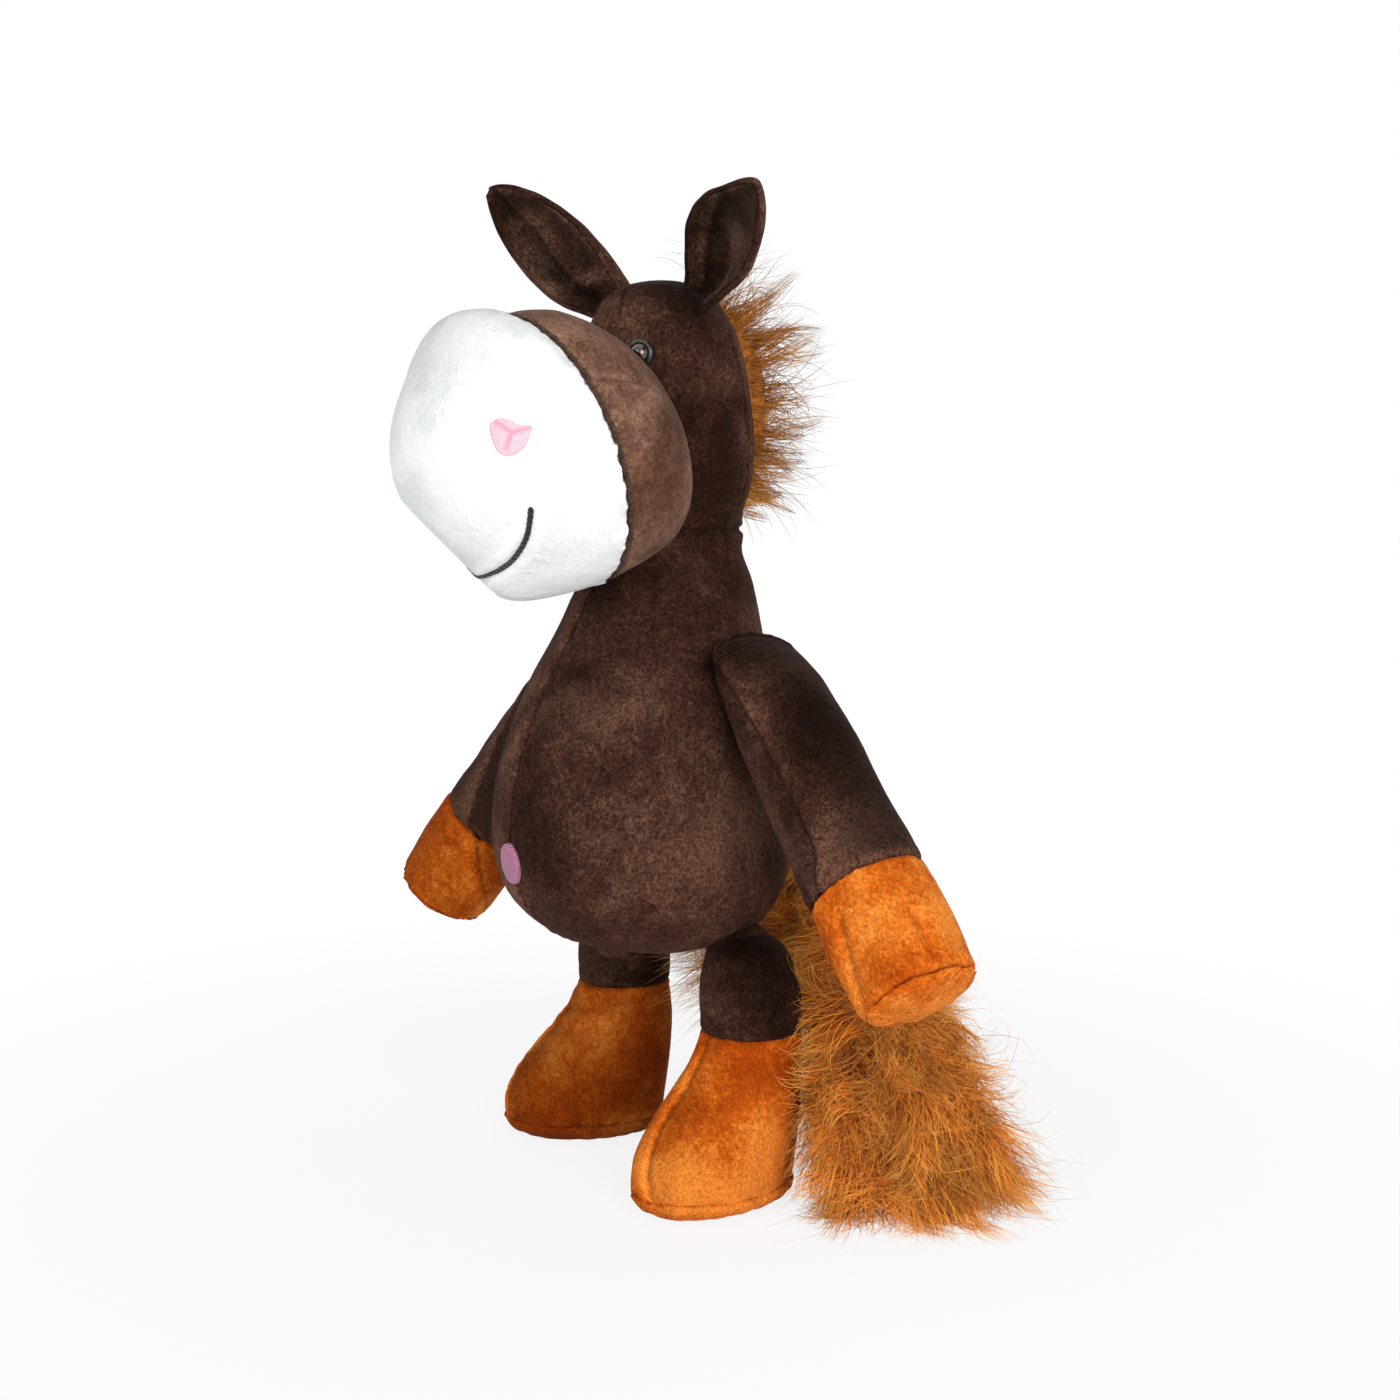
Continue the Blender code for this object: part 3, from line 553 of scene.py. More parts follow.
def fillUp(pieces):  # cloth under pressure, all covers at once, with a cap on the travel
    starts = {}
    for name, piece in pieces.items():
        step = piece.modifiers.new("cloth", "CLOTH")
        cloth = step.settings
        cloth.use_pressure = True
        cloth.uniform_pressure_force = swelling["pressure"]
        cloth.mass = swelling["mass"]
        cloth.tension_stiffness = cloth.compression_stiffness = swelling["stiff"]
        cloth.bending_stiffness = swelling["bend"]
        cloth.vertex_group_mass = "sewn"
        cloth.effector_weights.gravity = 0
        step.collision_settings.use_collision = False
        step.point_cache.frame_start, step.point_cache.frame_end = 1, swelling["frames"]
        starts[name] = pointsOf(piece)
    scene.frame_start, scene.frame_end = 1, swelling["frames"]
    for now in range(1, swelling["frames"] + 1):
        scene.frame_set(now)
    for name, piece in pieces.items():
        applied(piece)
        travel = pointsOf(piece) - starts[name]
        far = np.linalg.norm(travel, axis=1).clip(1e-9)[:, None]
        limit = covers[name]["cap"]
        movePoints(piece, starts[name] + travel * np.minimum(1, limit / far))
    scene.frame_set(1)


made = {name: cutOut(name, cover) for name, cover in covers.items()}
print("covers cut:", sum(len(p.data.vertices) for p in made.values()), "points")
fillUp(made)
print("covers filled")
bpy.context.view_layer.update()


def snapped(piece, spots):
    return np.array([piece.closest_point_on_mesh(Vector(p))[1] for p in spots])


def evenLine(piece, spots, step=0.0008, rounds=10):  # even, rounded and on the cover
    spots = np.array(spots, float)
    for turn in range(3):
        far = np.append(0, np.cumsum(np.linalg.norm(np.diff(spots, axis=0), axis=1)))
        at = np.linspace(0, far[-1], max(int(far[-1] / step), 4) + 1)
        spots = np.stack([np.interp(at, far, spots[:, k]) for k in range(3)], axis=1)
        for _ in range(rounds):
            spots[1:-1] = (spots[:-2] + 2 * spots[1:-1] + spots[2:]) / 4
        spots = snapped(piece, spots)
    return spots


def castDots(piece, dots, step=1.5):  # points of the frame on a cover; a dot off its outline moves in
    middle = onFrame(pointsOf(piece).mean(0))
    spots = []
    for dot in np.array(dots, float):
        for _ in range(40):
            found, spot, _, _ = piece.ray_cast(camera.location, lineOfSight(*dot))
            if found:
                spots.append(np.array(spot))
                break
            dot += (middle - dot) / np.linalg.norm(middle - dot) * step
    return np.array(spots)


def drawnOn(piece, dots, rounds=10):
    return evenLine(piece, castDots(piece, dots), rounds=rounds)


def mirrored(piece, line):  # the same line on the toy's other side
    return evenLine(piece, line * (-1, 1, 1) + (2 * toy["spine"], 0, 0))


def ringOn(piece, middle, first, second, degrees):  # a line round a cover in one plane
    spots = []
    for a in np.radians(degrees):
        way = Vector(first) * math.cos(a) + Vector(second) * math.sin(a)
        found, spot, _, _ = piece.ray_cast(Vector(middle) + way * 0.3, -way)
        if found:
            spots.append(np.array(spot))
    return evenLine(piece, spots, rounds=3)


stitchKeys = ("width", "depth", "pucker", "shade", "napAndShading", "reach")
stitching = {name: dict(zip(stitchKeys, row)) for name, row in {
    # half width, depth and puckers in metres; how dark the line is (dark stitching on seams, painted shade in
    # folds, creases and troughs); nap with painted light and shade on its left and right, and its reach
    "body": (0.0010, 0.0011, 0.00035, 0.85, (-0.10, 0.80), 0.030),
    "armNear": (0.0010, 0.0010, 0.00035, 0.7, (0.55, -0.45), 0.016),
    "armFar": (0.0010, 0.0010, 0.00035, 0.7, (-0.45, 0.90), 0.014),
    "armTop": (0.0012, 0.0008, 0.00030, 0.4, (0, 0.15), 0.006),
    "head": (0.0009, 0.0008, 0.00025, 0.6, (0.40, 0.40), 0.014),
    "dart": (0.0008, 0.0006, 0.00015, 0.5, (-0.12, 0.12), 0.010),
    "foot": (0.0011, 0.0010, 0.00040, 0.35, (-0.25, 0.60), 0.012),
    "hand": (0.0012, 0.0008, 0.00035, 0.3, (-0.05, 0.40), 0.014),
    "fold": (0.0020, 0.0010, 0.00010, 0.15, (0.10, 0.15), 0.004),
    "smile": (0.0013, 0.0009, 0.00010, 0.0, (0, 0), 0.003),
    # the ear's ridge and trough: the cup beside them is painted in shade on one side
    "ridge": (0.0012, -0.0009, 0.00020, 0.0, (-1.0, 0.15), 0.013),
    "trough": (0.0014, 0.0006, 0.00020, 0.25, (-0.5, 0.40), 0.008),
    "crease": (0.0012, 0.0006, 0.00010, 0.25, (0.15, 0.10), 0.003),
}.items()}
smile = {
    "dots": [(531, 507), (530.5, 520), (527, 537), (520, 551), (510, 563), (497, 571), (481, 576)],
    "half": 0.00088, "rise": 0.00072, "lay": 0.0019, "sides": 12, "step": 0.0004,
}
drawnSeams = [  # cover, look, rounds of rounding, points of the 1400 x 1400 frame
    ("torso", "crease", 4, [(648, 638), (662, 648), (690, 652), (700, 650)]),
    ("torso", "crease", 4, [(655, 662), (676, 660), (700, 664)]),
    ("torso", "crease", 4, [(640, 652), (652, 655), (664, 652)]),
    ("torso", "fold", 4, [(752, 905), (725, 925), (690, 934)]),
    ("arm_left", "armNear", 10, [(712, 660), (722, 676), (755, 731), (791, 803), (818, 861), (841, 908)]),
    ("arm_left", "armTop", 10, [(703, 643), (730, 638), (757, 635), (780, 638), (794, 647)]),
    ("arm_right", "armFar", 10, [(546, 640), (528, 680), (505, 725), (487, 765), (472, 806)]),
    ("hand_hoof_left", "hand", 10, [(838, 914), (846, 945), (856, 985), (864, 1006)]),
    ("hand_hoof_left", "fold", 4, [(905, 905), (925, 930), (938, 965)]),
    ("hand_hoof_right", "hand", 10, [(470, 812), (478, 850), (484, 885), (488, 912)]),
    ("hand_hoof_right", "crease", 4, [(426, 856), (445, 862), (464, 874)]),
    ("hand_hoof_right", "crease", 4, [(424, 874), (440, 882), (458, 896)]),
    ("hand_hoof_right", "crease", 4, [(445, 838), (462, 846), (476, 850)]),
    ("foot_hoof_left", "foot", 10,
     [(706, 1042), (698, 1062), (682, 1093), (663, 1121), (651, 1148), (646, 1175), (650, 1196)]),
    ("foot_hoof_left", "fold", 4, [(712, 1062), (735, 1070), (765, 1066)]),
    ("foot_hoof_right", "foot", 10,
     [(566, 980), (542, 1014), (518, 1042), (506, 1060), (502, 1085), (508, 1110)]),
    ("foot_hoof_right", "fold", 4, [(560, 1000), (590, 1010), (620, 1004)]),
    ("leg_left", "fold", 4, [(700, 962), (708, 985), (716, 1004), (728, 1012)]),
    ("leg_left", "fold", 4, [(716, 968), (728, 990), (748, 1006)]),
]
pairedSeams = [  # the same, for seams that the toy has on both sides
    ("head", "head", [(728, 330), (738, 365), (746, 410), (750, 450), (748, 490), (741, 525)]),
    ("head", "head", [(588, 318), (596, 303), (606, 293), (622, 286)]),
    ("muzzle_band", "dart", [(588, 382), (612, 379), (634, 382), (656, 388)]),
]
bodySeam = {  # it goes round in the middle plane, and the embroidered oval covers the rest
    "middle": (toy["spine"], 0.012, 0.105), "degrees": (range(74, 5, -2), range(-7, -258, -2)),
}


def planSeams():
    plan = {name: [] for name in covers}
    for degrees in bodySeam["degrees"]:
        line = ringOn(made["torso"], bodySeam["middle"], (0, -1, 0), (0, 0, 1), degrees)
        plan["torso"].append((line, "body"))
    for name, look, rounds, dots in drawnSeams:
        plan[name].append((drawnOn(made[name], dots, rounds), look))
    for name, look, dots in pairedSeams:
        line = drawnOn(made[name], dots)
        plan[name] += [(line, look), (mirrored(made[name], line)[::-1], look)]
    cap = made["muzzle_cap"]
    near = drawnOn(cap, smile["dots"], 4)
    plan["muzzle_cap"].append((np.vstack([near, mirrored(cap, near)[::-1]]), "smile"))
    return plan


def fromLine(spots, line):  # distance to a line, and the index of its nearest point
    gaps = ((spots[:, None, :] - line[None, :, :]) ** 2).sum(axis=2)
    near = gaps.argmin(axis=1)
    return np.sqrt(gaps[np.arange(len(spots)), near]), near


def around(spots, line, reach):
    return np.flatnonzero(((spots > line.min(0) - reach) & (spots < line.max(0) + reach)).all(axis=1))


def finerNear(piece, lines, reach=0.0026):  # more edges along the lines, so that the seams come out crisp
    spots = pointsOf(piece)
    chosen = np.zeros(len(spots), bool)
    for line in lines:
        near = around(spots, line, reach)
        if len(near):
            chosen[near] |= fromLine(spots[near], line)[0] < reach
    shape = bmesh.new()
    shape.from_mesh(piece.data)
    shape.verts.ensure_lookup_table()
    edges = [e for e in shape.edges if chosen[e.verts[0].index] or chosen[e.verts[1].index]]
    bmesh.ops.subdivide_edges(shape, edges=edges, cuts=1, use_grid_fill=True, smooth=0)
    shape.to_mesh(piece.data)
    shape.free()
    piece.data.shade_smooth()


def sew(piece, line, look, seed):
    spots, out = pointsOf(piece), normalsOf(piece)
    near = around(spots, line, look["reach"])
    if not len(near):
        return
    away, at = fromLine(spots[near], line)
    along = unit(np.gradient(line, axis=0))[at]
    side = np.einsum("ij,ij->i", spots[near] - line[at], np.cross(out[near], along))
    left = side > 0
    folds = np.array([
        [noise.noise(Vector((i * 0.30, seed * 5.3 + k * 9.1, 0.4))) for k in range(2)]
        for i in range(len(line))
    ])[at, left.astype(int)]
    w = look["width"]
    end = eased(np.minimum(at, len(line) - 1 - at) / 4 + 0.25)  # the line fades out at its ends
    crease = np.exp(-(away / w) ** 2) * end
    swell = np.exp(-((away - 2.6 * w) / (1.3 * w)) ** 2) * end
    lift = -look["depth"] * crease + 0.22 * look["depth"] * swell
    lift += look["pucker"] * folds * 2.2 * np.exp(-(away / (4 * w)) ** 2) * end
    spots[near] += out[near] * lift[:, None]
    movePoints(piece, spots)
    seam, napAndShading = marks(piece, "seam"), marks(piece, "napAndShading")
    seam[near] = np.maximum(seam[near], look["shade"] * np.exp(-(away / (0.6 * w)) ** 2) * end)
    fade = eased(1 - away / look["reach"]) * eased(away / (1.5 * w))
    # painted light and shade beside the line: a strip made lighter or darker on each side, and lighter where
    # the cover swells out
    napAndShading[near] += np.where(left, look["napAndShading"][0], look["napAndShading"][1]) * fade + 0.12 * swell
    mark(piece, "seam", seam)
    mark(piece, "napAndShading", napAndShading)


muzzleShape = {  # pressed flat below on one side, and fuller above behind the nostrils
    "way": Vector((-0.334, -0.627, -0.703)).normalized(), "from": 0.0394, "keep": 0.10, "soft": 0.0008,
    "brow": 0.0056, "browFrom": 0.35, "chin": 0.0032, "chinWay": (0.61, -0.79), "chinWide": 0.26,
}


def shapeMuzzle(piece):
    spots, nose = pointsOf(piece), np.array(toy["nose"])
    way = unit(spots - nose)
    out, up = way @ np.array(toy["noseOut"]), way @ np.array(toy["noseUp"])
    push = np.exp(-((out - 0.27) / 0.22) ** 2) * eased((up - muzzleShape["browFrom"]) / 0.4)
    push = push * eased(out / 0.12)
    outWay, upWay = muzzleShape["chinWay"]
    off = np.sqrt((out - outWay) ** 2 + (up - upWay) ** 2 + way[:, 0] ** 2) / muzzleShape["chinWide"]
    spots += way * (muzzleShape["brow"] * push + muzzleShape["chin"] * np.exp(-off ** 2))[:, None]
    down = np.array(muzzleShape["way"])
    over = (spots - nose) @ down - muzzleShape["from"]
    soft = muzzleShape["soft"]
    kept = np.where(over > soft, soft + (over - soft) * muzzleShape["keep"], over)
    spots += down * (kept - over).clip(None, 0)[:, None]
    movePoints(piece, spots)


neckNip = {"height": 0.2065, "reach": 0.0115, "depth": 0.0036, "front": 0.25, "within": 0.045}


def nip(spots):  # the neck's seam is drawn in, most at the back
    way = spots[:, :2] - np.array([toy["spine"], toy["neckBack"]])
    far = np.linalg.norm(way, axis=1).clip(1e-6)
    back = neckNip["front"] + (1 - neckNip["front"]) * eased(0.5 + 0.6 * way[:, 1] / far)
    share = np.exp(-((spots[:, 2] - neckNip["height"]) / neckNip["reach"]) ** 2) * back
    share = share * eased((neckNip["within"] - far) / 0.01)
    return np.column_stack([-way / far[:, None] * (neckNip["depth"] * share)[:, None], np.zeros(len(spots))])


def finishCover(name, cover, lines):
    piece = made[name]
    piece.vertex_groups.clear()
    spots = pointsOf(piece)
    mates = treeOf(cover["near"]) if cover["near"] else None
    free = 1 - heldShare(spots, mates, 0.0008, 0.006) if mates else np.ones(len(spots))
    seed = len(name)
    lump = wavy(spots, 50, seed) * 0.7 + wavy(spots, 110, seed + 3) * 0.3
    movePoints(piece, spots + normalsOf(piece) * (lump * cover["lumps"] * free)[:, None])
    if lines:
        finerNear(piece, [line for line, _ in lines])
    subdivided(piece)
    spots, out = pointsOf(piece), normalsOf(piece)
    # random nap, plus the painted shade of the covers in the table above
    seam, napAndShading = np.zeros(len(spots)), 0.22 * wavy(spots, 26, seed + 5) + shadedCovers.get(name, 0)
    if cover["finish"] == "brownPlush":
        napAndShading -= 0.95 * eased((out[:, 2] - 0.25) / 0.55)  # painted shade: faces that look up are made darker
    # the torso is made lighter towards the bottom
    if name == "torso":
        napAndShading += 0.30 * eased((0.125 - spots[:, 2]) / 0.06)
    if name in ("torso", "head"):
        spots += nip(spots)
    if cover["sewn"]:
        soft = "foot" in name or "sole" in name
        gap = distances(spots, treeOf(cover["sewn"]))
        edge = np.exp(-(gap / 0.0013) ** 2) * (3.0 if soft else 1.0)
        pucker = wavy(spots, 230, seed + 9) * np.exp(-((gap - 0.0015) / 0.0045) ** 2)
        spots += out * (closing * edge + 0.0004 * pucker)[:, None]
        seam = np.maximum(seam, (0.10 if soft else 0.45) * np.exp(-(gap / 0.0006) ** 2))
        # nap, with painted light: lighter just off the sewn edge and on the puckers that stand out
        napAndShading += (0.05 if soft else 0.16) * np.exp(-((gap - 0.0016) / 0.0010) ** 2) + 0.25 * pucker
    spots += out * (0.00009 * wavy(spots, 900, seed))[:, None]
    spots[:, 2] = spots[:, 2].clip(0)
    movePoints(piece, spots)
    mark(piece, "seam", seam)
    mark(piece, "napAndShading", napAndShading)
    if name == "muzzle_cap":
        shapeMuzzle(piece)
    for k, (line, look) in enumerate(lines):
        sew(piece, snapped(piece, line), stitching[look], seed + k)
    piece.data.materials.clear()
    piece.data.materials.append(plushes[cover["finish"]])


seams = planSeams()
for name, cover in covers.items():
    finishCover(name, cover, seams[name])
bpy.context.view_layer.update()
print("covers finished:", sum(len(p.data.polygons) for p in made.values()), "faces")

for name, cover in covers.items():
    piece = made[name]
    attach(piece, cover["body"])
    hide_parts(name)


def ringShell(name, rings):  # closed both ways, from rings of equal count
    rows, sides = rings.shape[:2]
    faces = []
    for r in range(rows):
        a, b = r * sides, (r + 1) % rows * sides
        faces += [(a + k, a + (k + 1) % sides, b + (k + 1) % sides, b + k) for k in range(sides)]
    return turnedOut(toObject(name, rings.reshape(-1, 3), faces))


neckFold = {
    "low": 0.1975, "high": 0.2150, "gap": (0.2022, 0.2098),  # heights: its ends, and the open seam
    "seam": 0.2060, "rows": 22, "sides": 120,
    "proud": 0.0009, "crease": 0.0016, "thick": 0.0012, "under": 0.0006, "turn": 0.006,
}


def makeNeckFold():  # the cover goes on over the neck's seam
    middle = Vector((toy["spine"], toy["neckBack"], 0))

    def reach(z, way):  # how far out the covers are, and nothing within the gap
        below, above = neckFold["gap"]
        if below <= z <= above:
            return math.nan
        piece = made["torso"] if z < below else made["head"]
        found, spot, _, _ = piece.ray_cast(middle + way * 0.2 + Vector((0, 0, z)), -way)
        return (Vector(spot) - middle).xy.length if found else math.nan

    heights = np.linspace(neckFold["low"], neckFold["high"], neckFold["rows"])
    turns = [2 * math.pi * k / neckFold["sides"] for k in range(neckFold["sides"])]
    ways = [Vector((math.cos(a), math.sin(a), 0)) for a in turns]
    radii = []
    for way in ways:
        own = np.array([reach(z, way) for z in heights])
        good = ~np.isnan(own)
        radii.append(np.interp(heights, heights[good], own[good]))
    radii = np.array(radii).T
    for _ in range(3):
        radii = (np.roll(radii, 1, 1) + 2 * radii + np.roll(radii, -1, 1)) / 4
    outer, inner, deep = [], [], []
    for r, z in enumerate(heights):
        share = (z - neckFold["low"]) / (neckFold["high"] - neckFold["low"])
        swell = math.sin(math.pi * share) ** 0.8
        up = Vector((0, 0, z))
        row, low = [], []
        for k, (a, way) in enumerate(zip(turns, ways)):
            line = neckFold["seam"] + 0.0012 * math.cos(a - 0.6) + 0.0004 * noise.noise(way * 4)
            fold = math.exp(-((z - line) / 0.0010) ** 2)
            ruck = noise.noise(way * 11) * math.exp(-((z - line) / 0.004) ** 2)
            inside = radii[r, k] - neckFold["under"]
            out = inside + neckFold["proud"] * 1.6 * swell - neckFold["crease"] * fold + 0.0005 * ruck
            row.append(middle + way * out + up)
            low.append(middle + way * (inside - neckFold["thick"]) + up)
            deep.append(fold)
        outer.append(row)
        inner.append(low)
    piece = ringShell("neck.fold", np.array(outer + inner[::-1]))
    mark(piece, "seam", np.append(0.7 * np.array(deep), np.zeros(len(deep))))
    mark(piece, "napAndShading", 0.15 * wavy(pointsOf(piece), 60, 4))
    piece.data.materials.append(plushes["brownPlush"])
    low, high = (neckFold["seam"] + step for step in (-neckFold["turn"], neckFold["turn"]))
    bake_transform(piece)


hipFold = {
    "low": 0.0545, "aim": (0.55, 0.0125, 0.112), "longest": 0.035,
    "rows": 12, "sides": 72, "thick": 0.0010, "turn": (0.072, 0.057),
}


def makeHipFold(side, hip):  # the thigh's cover runs up into the torso
    leg, torso = made["leg_" + side], made["torso"]
    share, back, height = hipFold["aim"]
    aim = Vector((toy["spine"] + (hip.x - toy["spine"]) * share, back, height))
    outer, inner = [], []
    steps = np.linspace(0, 1, hipFold["rows"])
    for k in range(hipFold["sides"]):
        a = 2 * math.pi * k / hipFold["sides"]
        way = Vector((math.cos(a), math.sin(a), 0))
        start = Vector((hip.x, hip.y, hipFold["low"])) + way * 0.06
        found, low, _, _ = leg.ray_cast(start, -way)
        low = Vector(low) if found else start - way * 0.045
        up = (aim - low).normalized()
        found, top, _, _ = torso.ray_cast(low, up)
        top = Vector(top) if found else low + Vector((0, 0, 0.01))
        if (top - low).length > hipFold["longest"]:
            top = low + up * hipFold["longest"]
        top += up * 0.0016
        bend = low + Vector((0, 0, 0.6 * (top - low).length))
        line, deep = [], []
        for t in steps:
            at = low * (1 - t) ** 2 + bend * 2 * t * (1 - t) + top * t * t
            ruck = noise.noise(Vector((math.cos(a) * 1.8, math.sin(a) * 1.8, t * 1.6 + hip.x * 90)))
            swell = math.sin(math.pi * min(t * 1.15, 1))
            line.append(at + way * (-0.0003 + 0.0008 * swell + 0.0014 * ruck * swell))
            deep.append(at + way * (-0.0003 - hipFold["thick"]))
        outer.append(line)
        inner.append(deep)
    outer, inner = np.array(outer).transpose(1, 0, 2), np.array(inner).transpose(1, 0, 2)
    for _ in range(2):
        outer = (np.roll(outer, 1, 1) + 2 * outer + np.roll(outer, -1, 1)) / 4
    piece = ringShell(f"thigh.{side}.fold", np.concatenate([outer, inner[::-1]]))
    subdivided(piece)
    spots = pointsOf(piece)
    mark(piece, "seam", 0.5 * np.exp(-(distances(spots, treeOf(["torso"])) / 0.0010) ** 2))
    mark(piece, "napAndShading", 0.3 * wavy(spots, 70, 6) - 0.1)
    piece.data.materials.append(plushes["brownPlush"])
    high, low = hipFold["turn"]
    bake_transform(piece)


makeNeckFold()
makeHipFold("left", toy["hipLeft"])
makeHipFold("right", toy["hipRight"])
print("neck and hips joined")


def sheetShell(name, top, bottom):  # a closed leaf from two grids of points
    rows, columns = top.shape[:2]
    half = rows * columns
    faces = []
    for r in range(rows - 1):
        for c in range(columns - 1):
            a = r * columns + c
            quad = (a, a + 1, a + columns + 1, a + columns)
            faces += [quad, tuple(half + i for i in reversed(quad))]
    rim = list(range(columns)) + [r * columns + columns - 1 for r in range(1, rows)]
    rim += [(rows - 1) * columns + c for c in range(columns - 2, -1, -1)]
    rim += [r * columns for r in range(rows - 2, 0, -1)]
    for a, b in zip(rim, rim[1:] + rim[:1]):
        faces.append((b, a, half + a, half + b))
    return turnedOut(toObject(name, np.concatenate([top.reshape(-1, 3), bottom.reshape(-1, 3)]), faces))


ears = {
    "left": {
        "root": Vector((0.01329, 0.00489, 0.27587)), "across": Vector((0.52649, 0.26215, -0.80876)),
        "along": Vector((0.837, -0.325, 0.440)), "length": 0.0710, "trough": -0.10, "bow": 0.0020,
        "half": [(0, 0.0080), (0.12, 0.0118), (0.3, 0.0168), (0.45, 0.0178), (0.6, 0.0164),
                 (0.75, 0.0130), (0.88, 0.0084), (0.96, 0.0044), (1, 0.0014)],
        "lean": [(0, 0.0000), (0.3, -0.0018), (0.6, 0.0002), (0.8, 0.0034), (1, 0.0078)],
        "trim": [(0, 1), (0.3, 1), (0.55, 0.82), (0.8, 0.55), (1, 0.6)],  # narrower on its front edge
        "ridges": [([(719, 190), (714, 206), (709, 223), (704, 247), (703, 277), (700, 296)], "ridge"),
                   ([(730, 253), (727, 270), (716, 286), (703, 296)][::-1], "trough")],
    },
    "right": {
        "root": Vector((-0.02682, 0.00488, 0.27587)), "across": Vector((0.71934, 0, 0.69466)),
        "along": Vector((-0.644, -0.374, 0.667)), "length": 0.0665, "trough": 0.10, "bow": 0.0015,
        "half": [(0, 0.0085), (0.12, 0.0125), (0.3, 0.0172), (0.45, 0.0184), (0.6, 0.0174),
                 (0.75, 0.0142), (0.88, 0.0096), (0.96, 0.0052), (1, 0.0016)],
        "lean": [(0, 0.0000), (0.4, -0.0026), (0.8, -0.0030), (1, -0.0024)],
        "trim": [(0, 1), (1, 1)],
        "ridges": [([(508, 199), (522, 212), (537, 227), (553, 250), (570, 273), (592, 288)][::-1], "ridge"),
                   ([(517, 262), (540, 275), (563, 290), (585, 297)], "trough")],
    },
}
earLook = {
    "open": [(0, 1.95), (0.15, 1.60), (0.4, 1.18), (0.7, 0.95), (1, 0.60)],  # half angle of the cup
    "thick": 0.0028, "rows": 40, "columns": 31, "lining": 0.0008, "inset": 0.965,
}


def earSheet(ear, u, v):  # the leaf's middle surface, cupped lengthwise, and its normals to the back
    half = curve(ear["half"], u)[:, None]
    opening = curve(earLook["open"], u)[:, None]
    lean = curve(ear["lean"], u)[:, None]
    radius = half / opening
    turn = opening * (v[None, :] + ear["trough"] * (1 - v[None, :] ** 2))
    x = radius * np.sin(turn) * np.where(turn < 0, curve(ear["trim"], u)[:, None], 1) + lean
    y = radius * (np.cos(turn) - np.cos(opening)) - 0.0015 + ear["bow"] * np.sin(math.pi * u)[:, None]
    z = ear["length"] * u[:, None] + 0 * turn
    across, along = np.array(ear["across"]), np.array(ear["along"])
    deep = np.cross(along, across)
    spots = np.array(ear["root"]) + x[..., None] * across + y[..., None] * deep + z[..., None] * along
    rows, columns = np.gradient(spots, axis=0), np.gradient(spots, axis=1)
    out = unit(np.cross(rows, columns))
    if (out.reshape(-1, 3) @ deep).mean() < 0:
        out = -out
    return spots, out


def makeEar(side):
    ear = ears[side]
    t = np.linspace(0, 1, earLook["rows"])
    u = 1 - (1 - t) ** 1.35
    v = np.sin(np.linspace(-math.pi / 2, math.pi / 2, earLook["columns"]))
    body = f"ear_{side}_body"

    def finish(piece, node, look, slotName, napAndShadingOf):
        subdivided(piece)
        spots = pointsOf(piece)
        local = (spots - np.array(ear["root"])) @ np.array([ear["across"], ear["along"]]).T
        ruck = wavy(spots, 150, 2) * eased(1 - local[:, 1] / 0.022)
        movePoints(piece, spots + normalsOf(piece) * (0.0006 * ruck + 0.0003 * wavy(spots, 90, 7))[:, None])
        mark(piece, "seam", 0.5 * eased(1 - local[:, 1] / 0.006))
        mark(piece, "napAndShading", napAndShadingOf(local) + 0.25 * wavy(spots, 70, 8))
        if "lining" in node:
            bpy.context.view_layer.update()
            for k, (dots, kind) in enumerate(ear["ridges"]):
                sew(piece, drawnOn(piece, dots, 3), stitching[kind], 20 + k)
        piece.data.materials.append(plushes[look])
        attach(piece, body)
        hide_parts(node)
        made[node] = piece

    spots, out = earSheet(ear, u, v)
    edge = 0.16 + 0.84 * np.sqrt(1 - v[None, :] ** 6)
    edge = edge * (0.25 + 0.75 * np.sqrt((1 - u[:, None] ** 9).clip(0)))
    thick = (earLook["thick"] / 2 * edge)[..., None]
    outer = sheetShell(f"ear.{side}.cover", spots + out * thick, spots - out * thick)
    # the back: one half lighter and the other darker, nap with painted light and shade
    finish(outer, "ear_" + side, "brownPlush", "brown_plush",
           lambda p: 0.25 * np.sign(p[:, 0]) * eased(abs(p[:, 0]) / 0.01) + 0.1)
    inset = earLook["inset"]
    spots, out = earSheet(ear, 0.03 + 0.945 * u, inset * v)
    edge = 0.12 + 0.88 * np.sqrt(1 - v[None, :] ** 8)
    edge = edge * (0.2 + 0.8 * np.sqrt((1 - u[:, None] ** 12).clip(0)))
    under = earLook["thick"] / 2 - 0.0004
    lift = (under + 0.0004 + earLook["lining"] * edge)[..., None]
    lining = sheetShell(f"ear.lining.{side}.cover", spots - out * under, spots - out * lift)
    # the lining: painted shade, darker towards the root deep in the cup
    finish(lining, "ear_lining_" + side, "brownLining", "brown_lining",
           lambda p: 0.05 - 0.35 * eased(1 - p[:, 1] / 0.03))


for side in ears:
    makeEar(side)
print("ears ready")


pileEnd = 0.088  # hairs bend back where they would stand out further than this


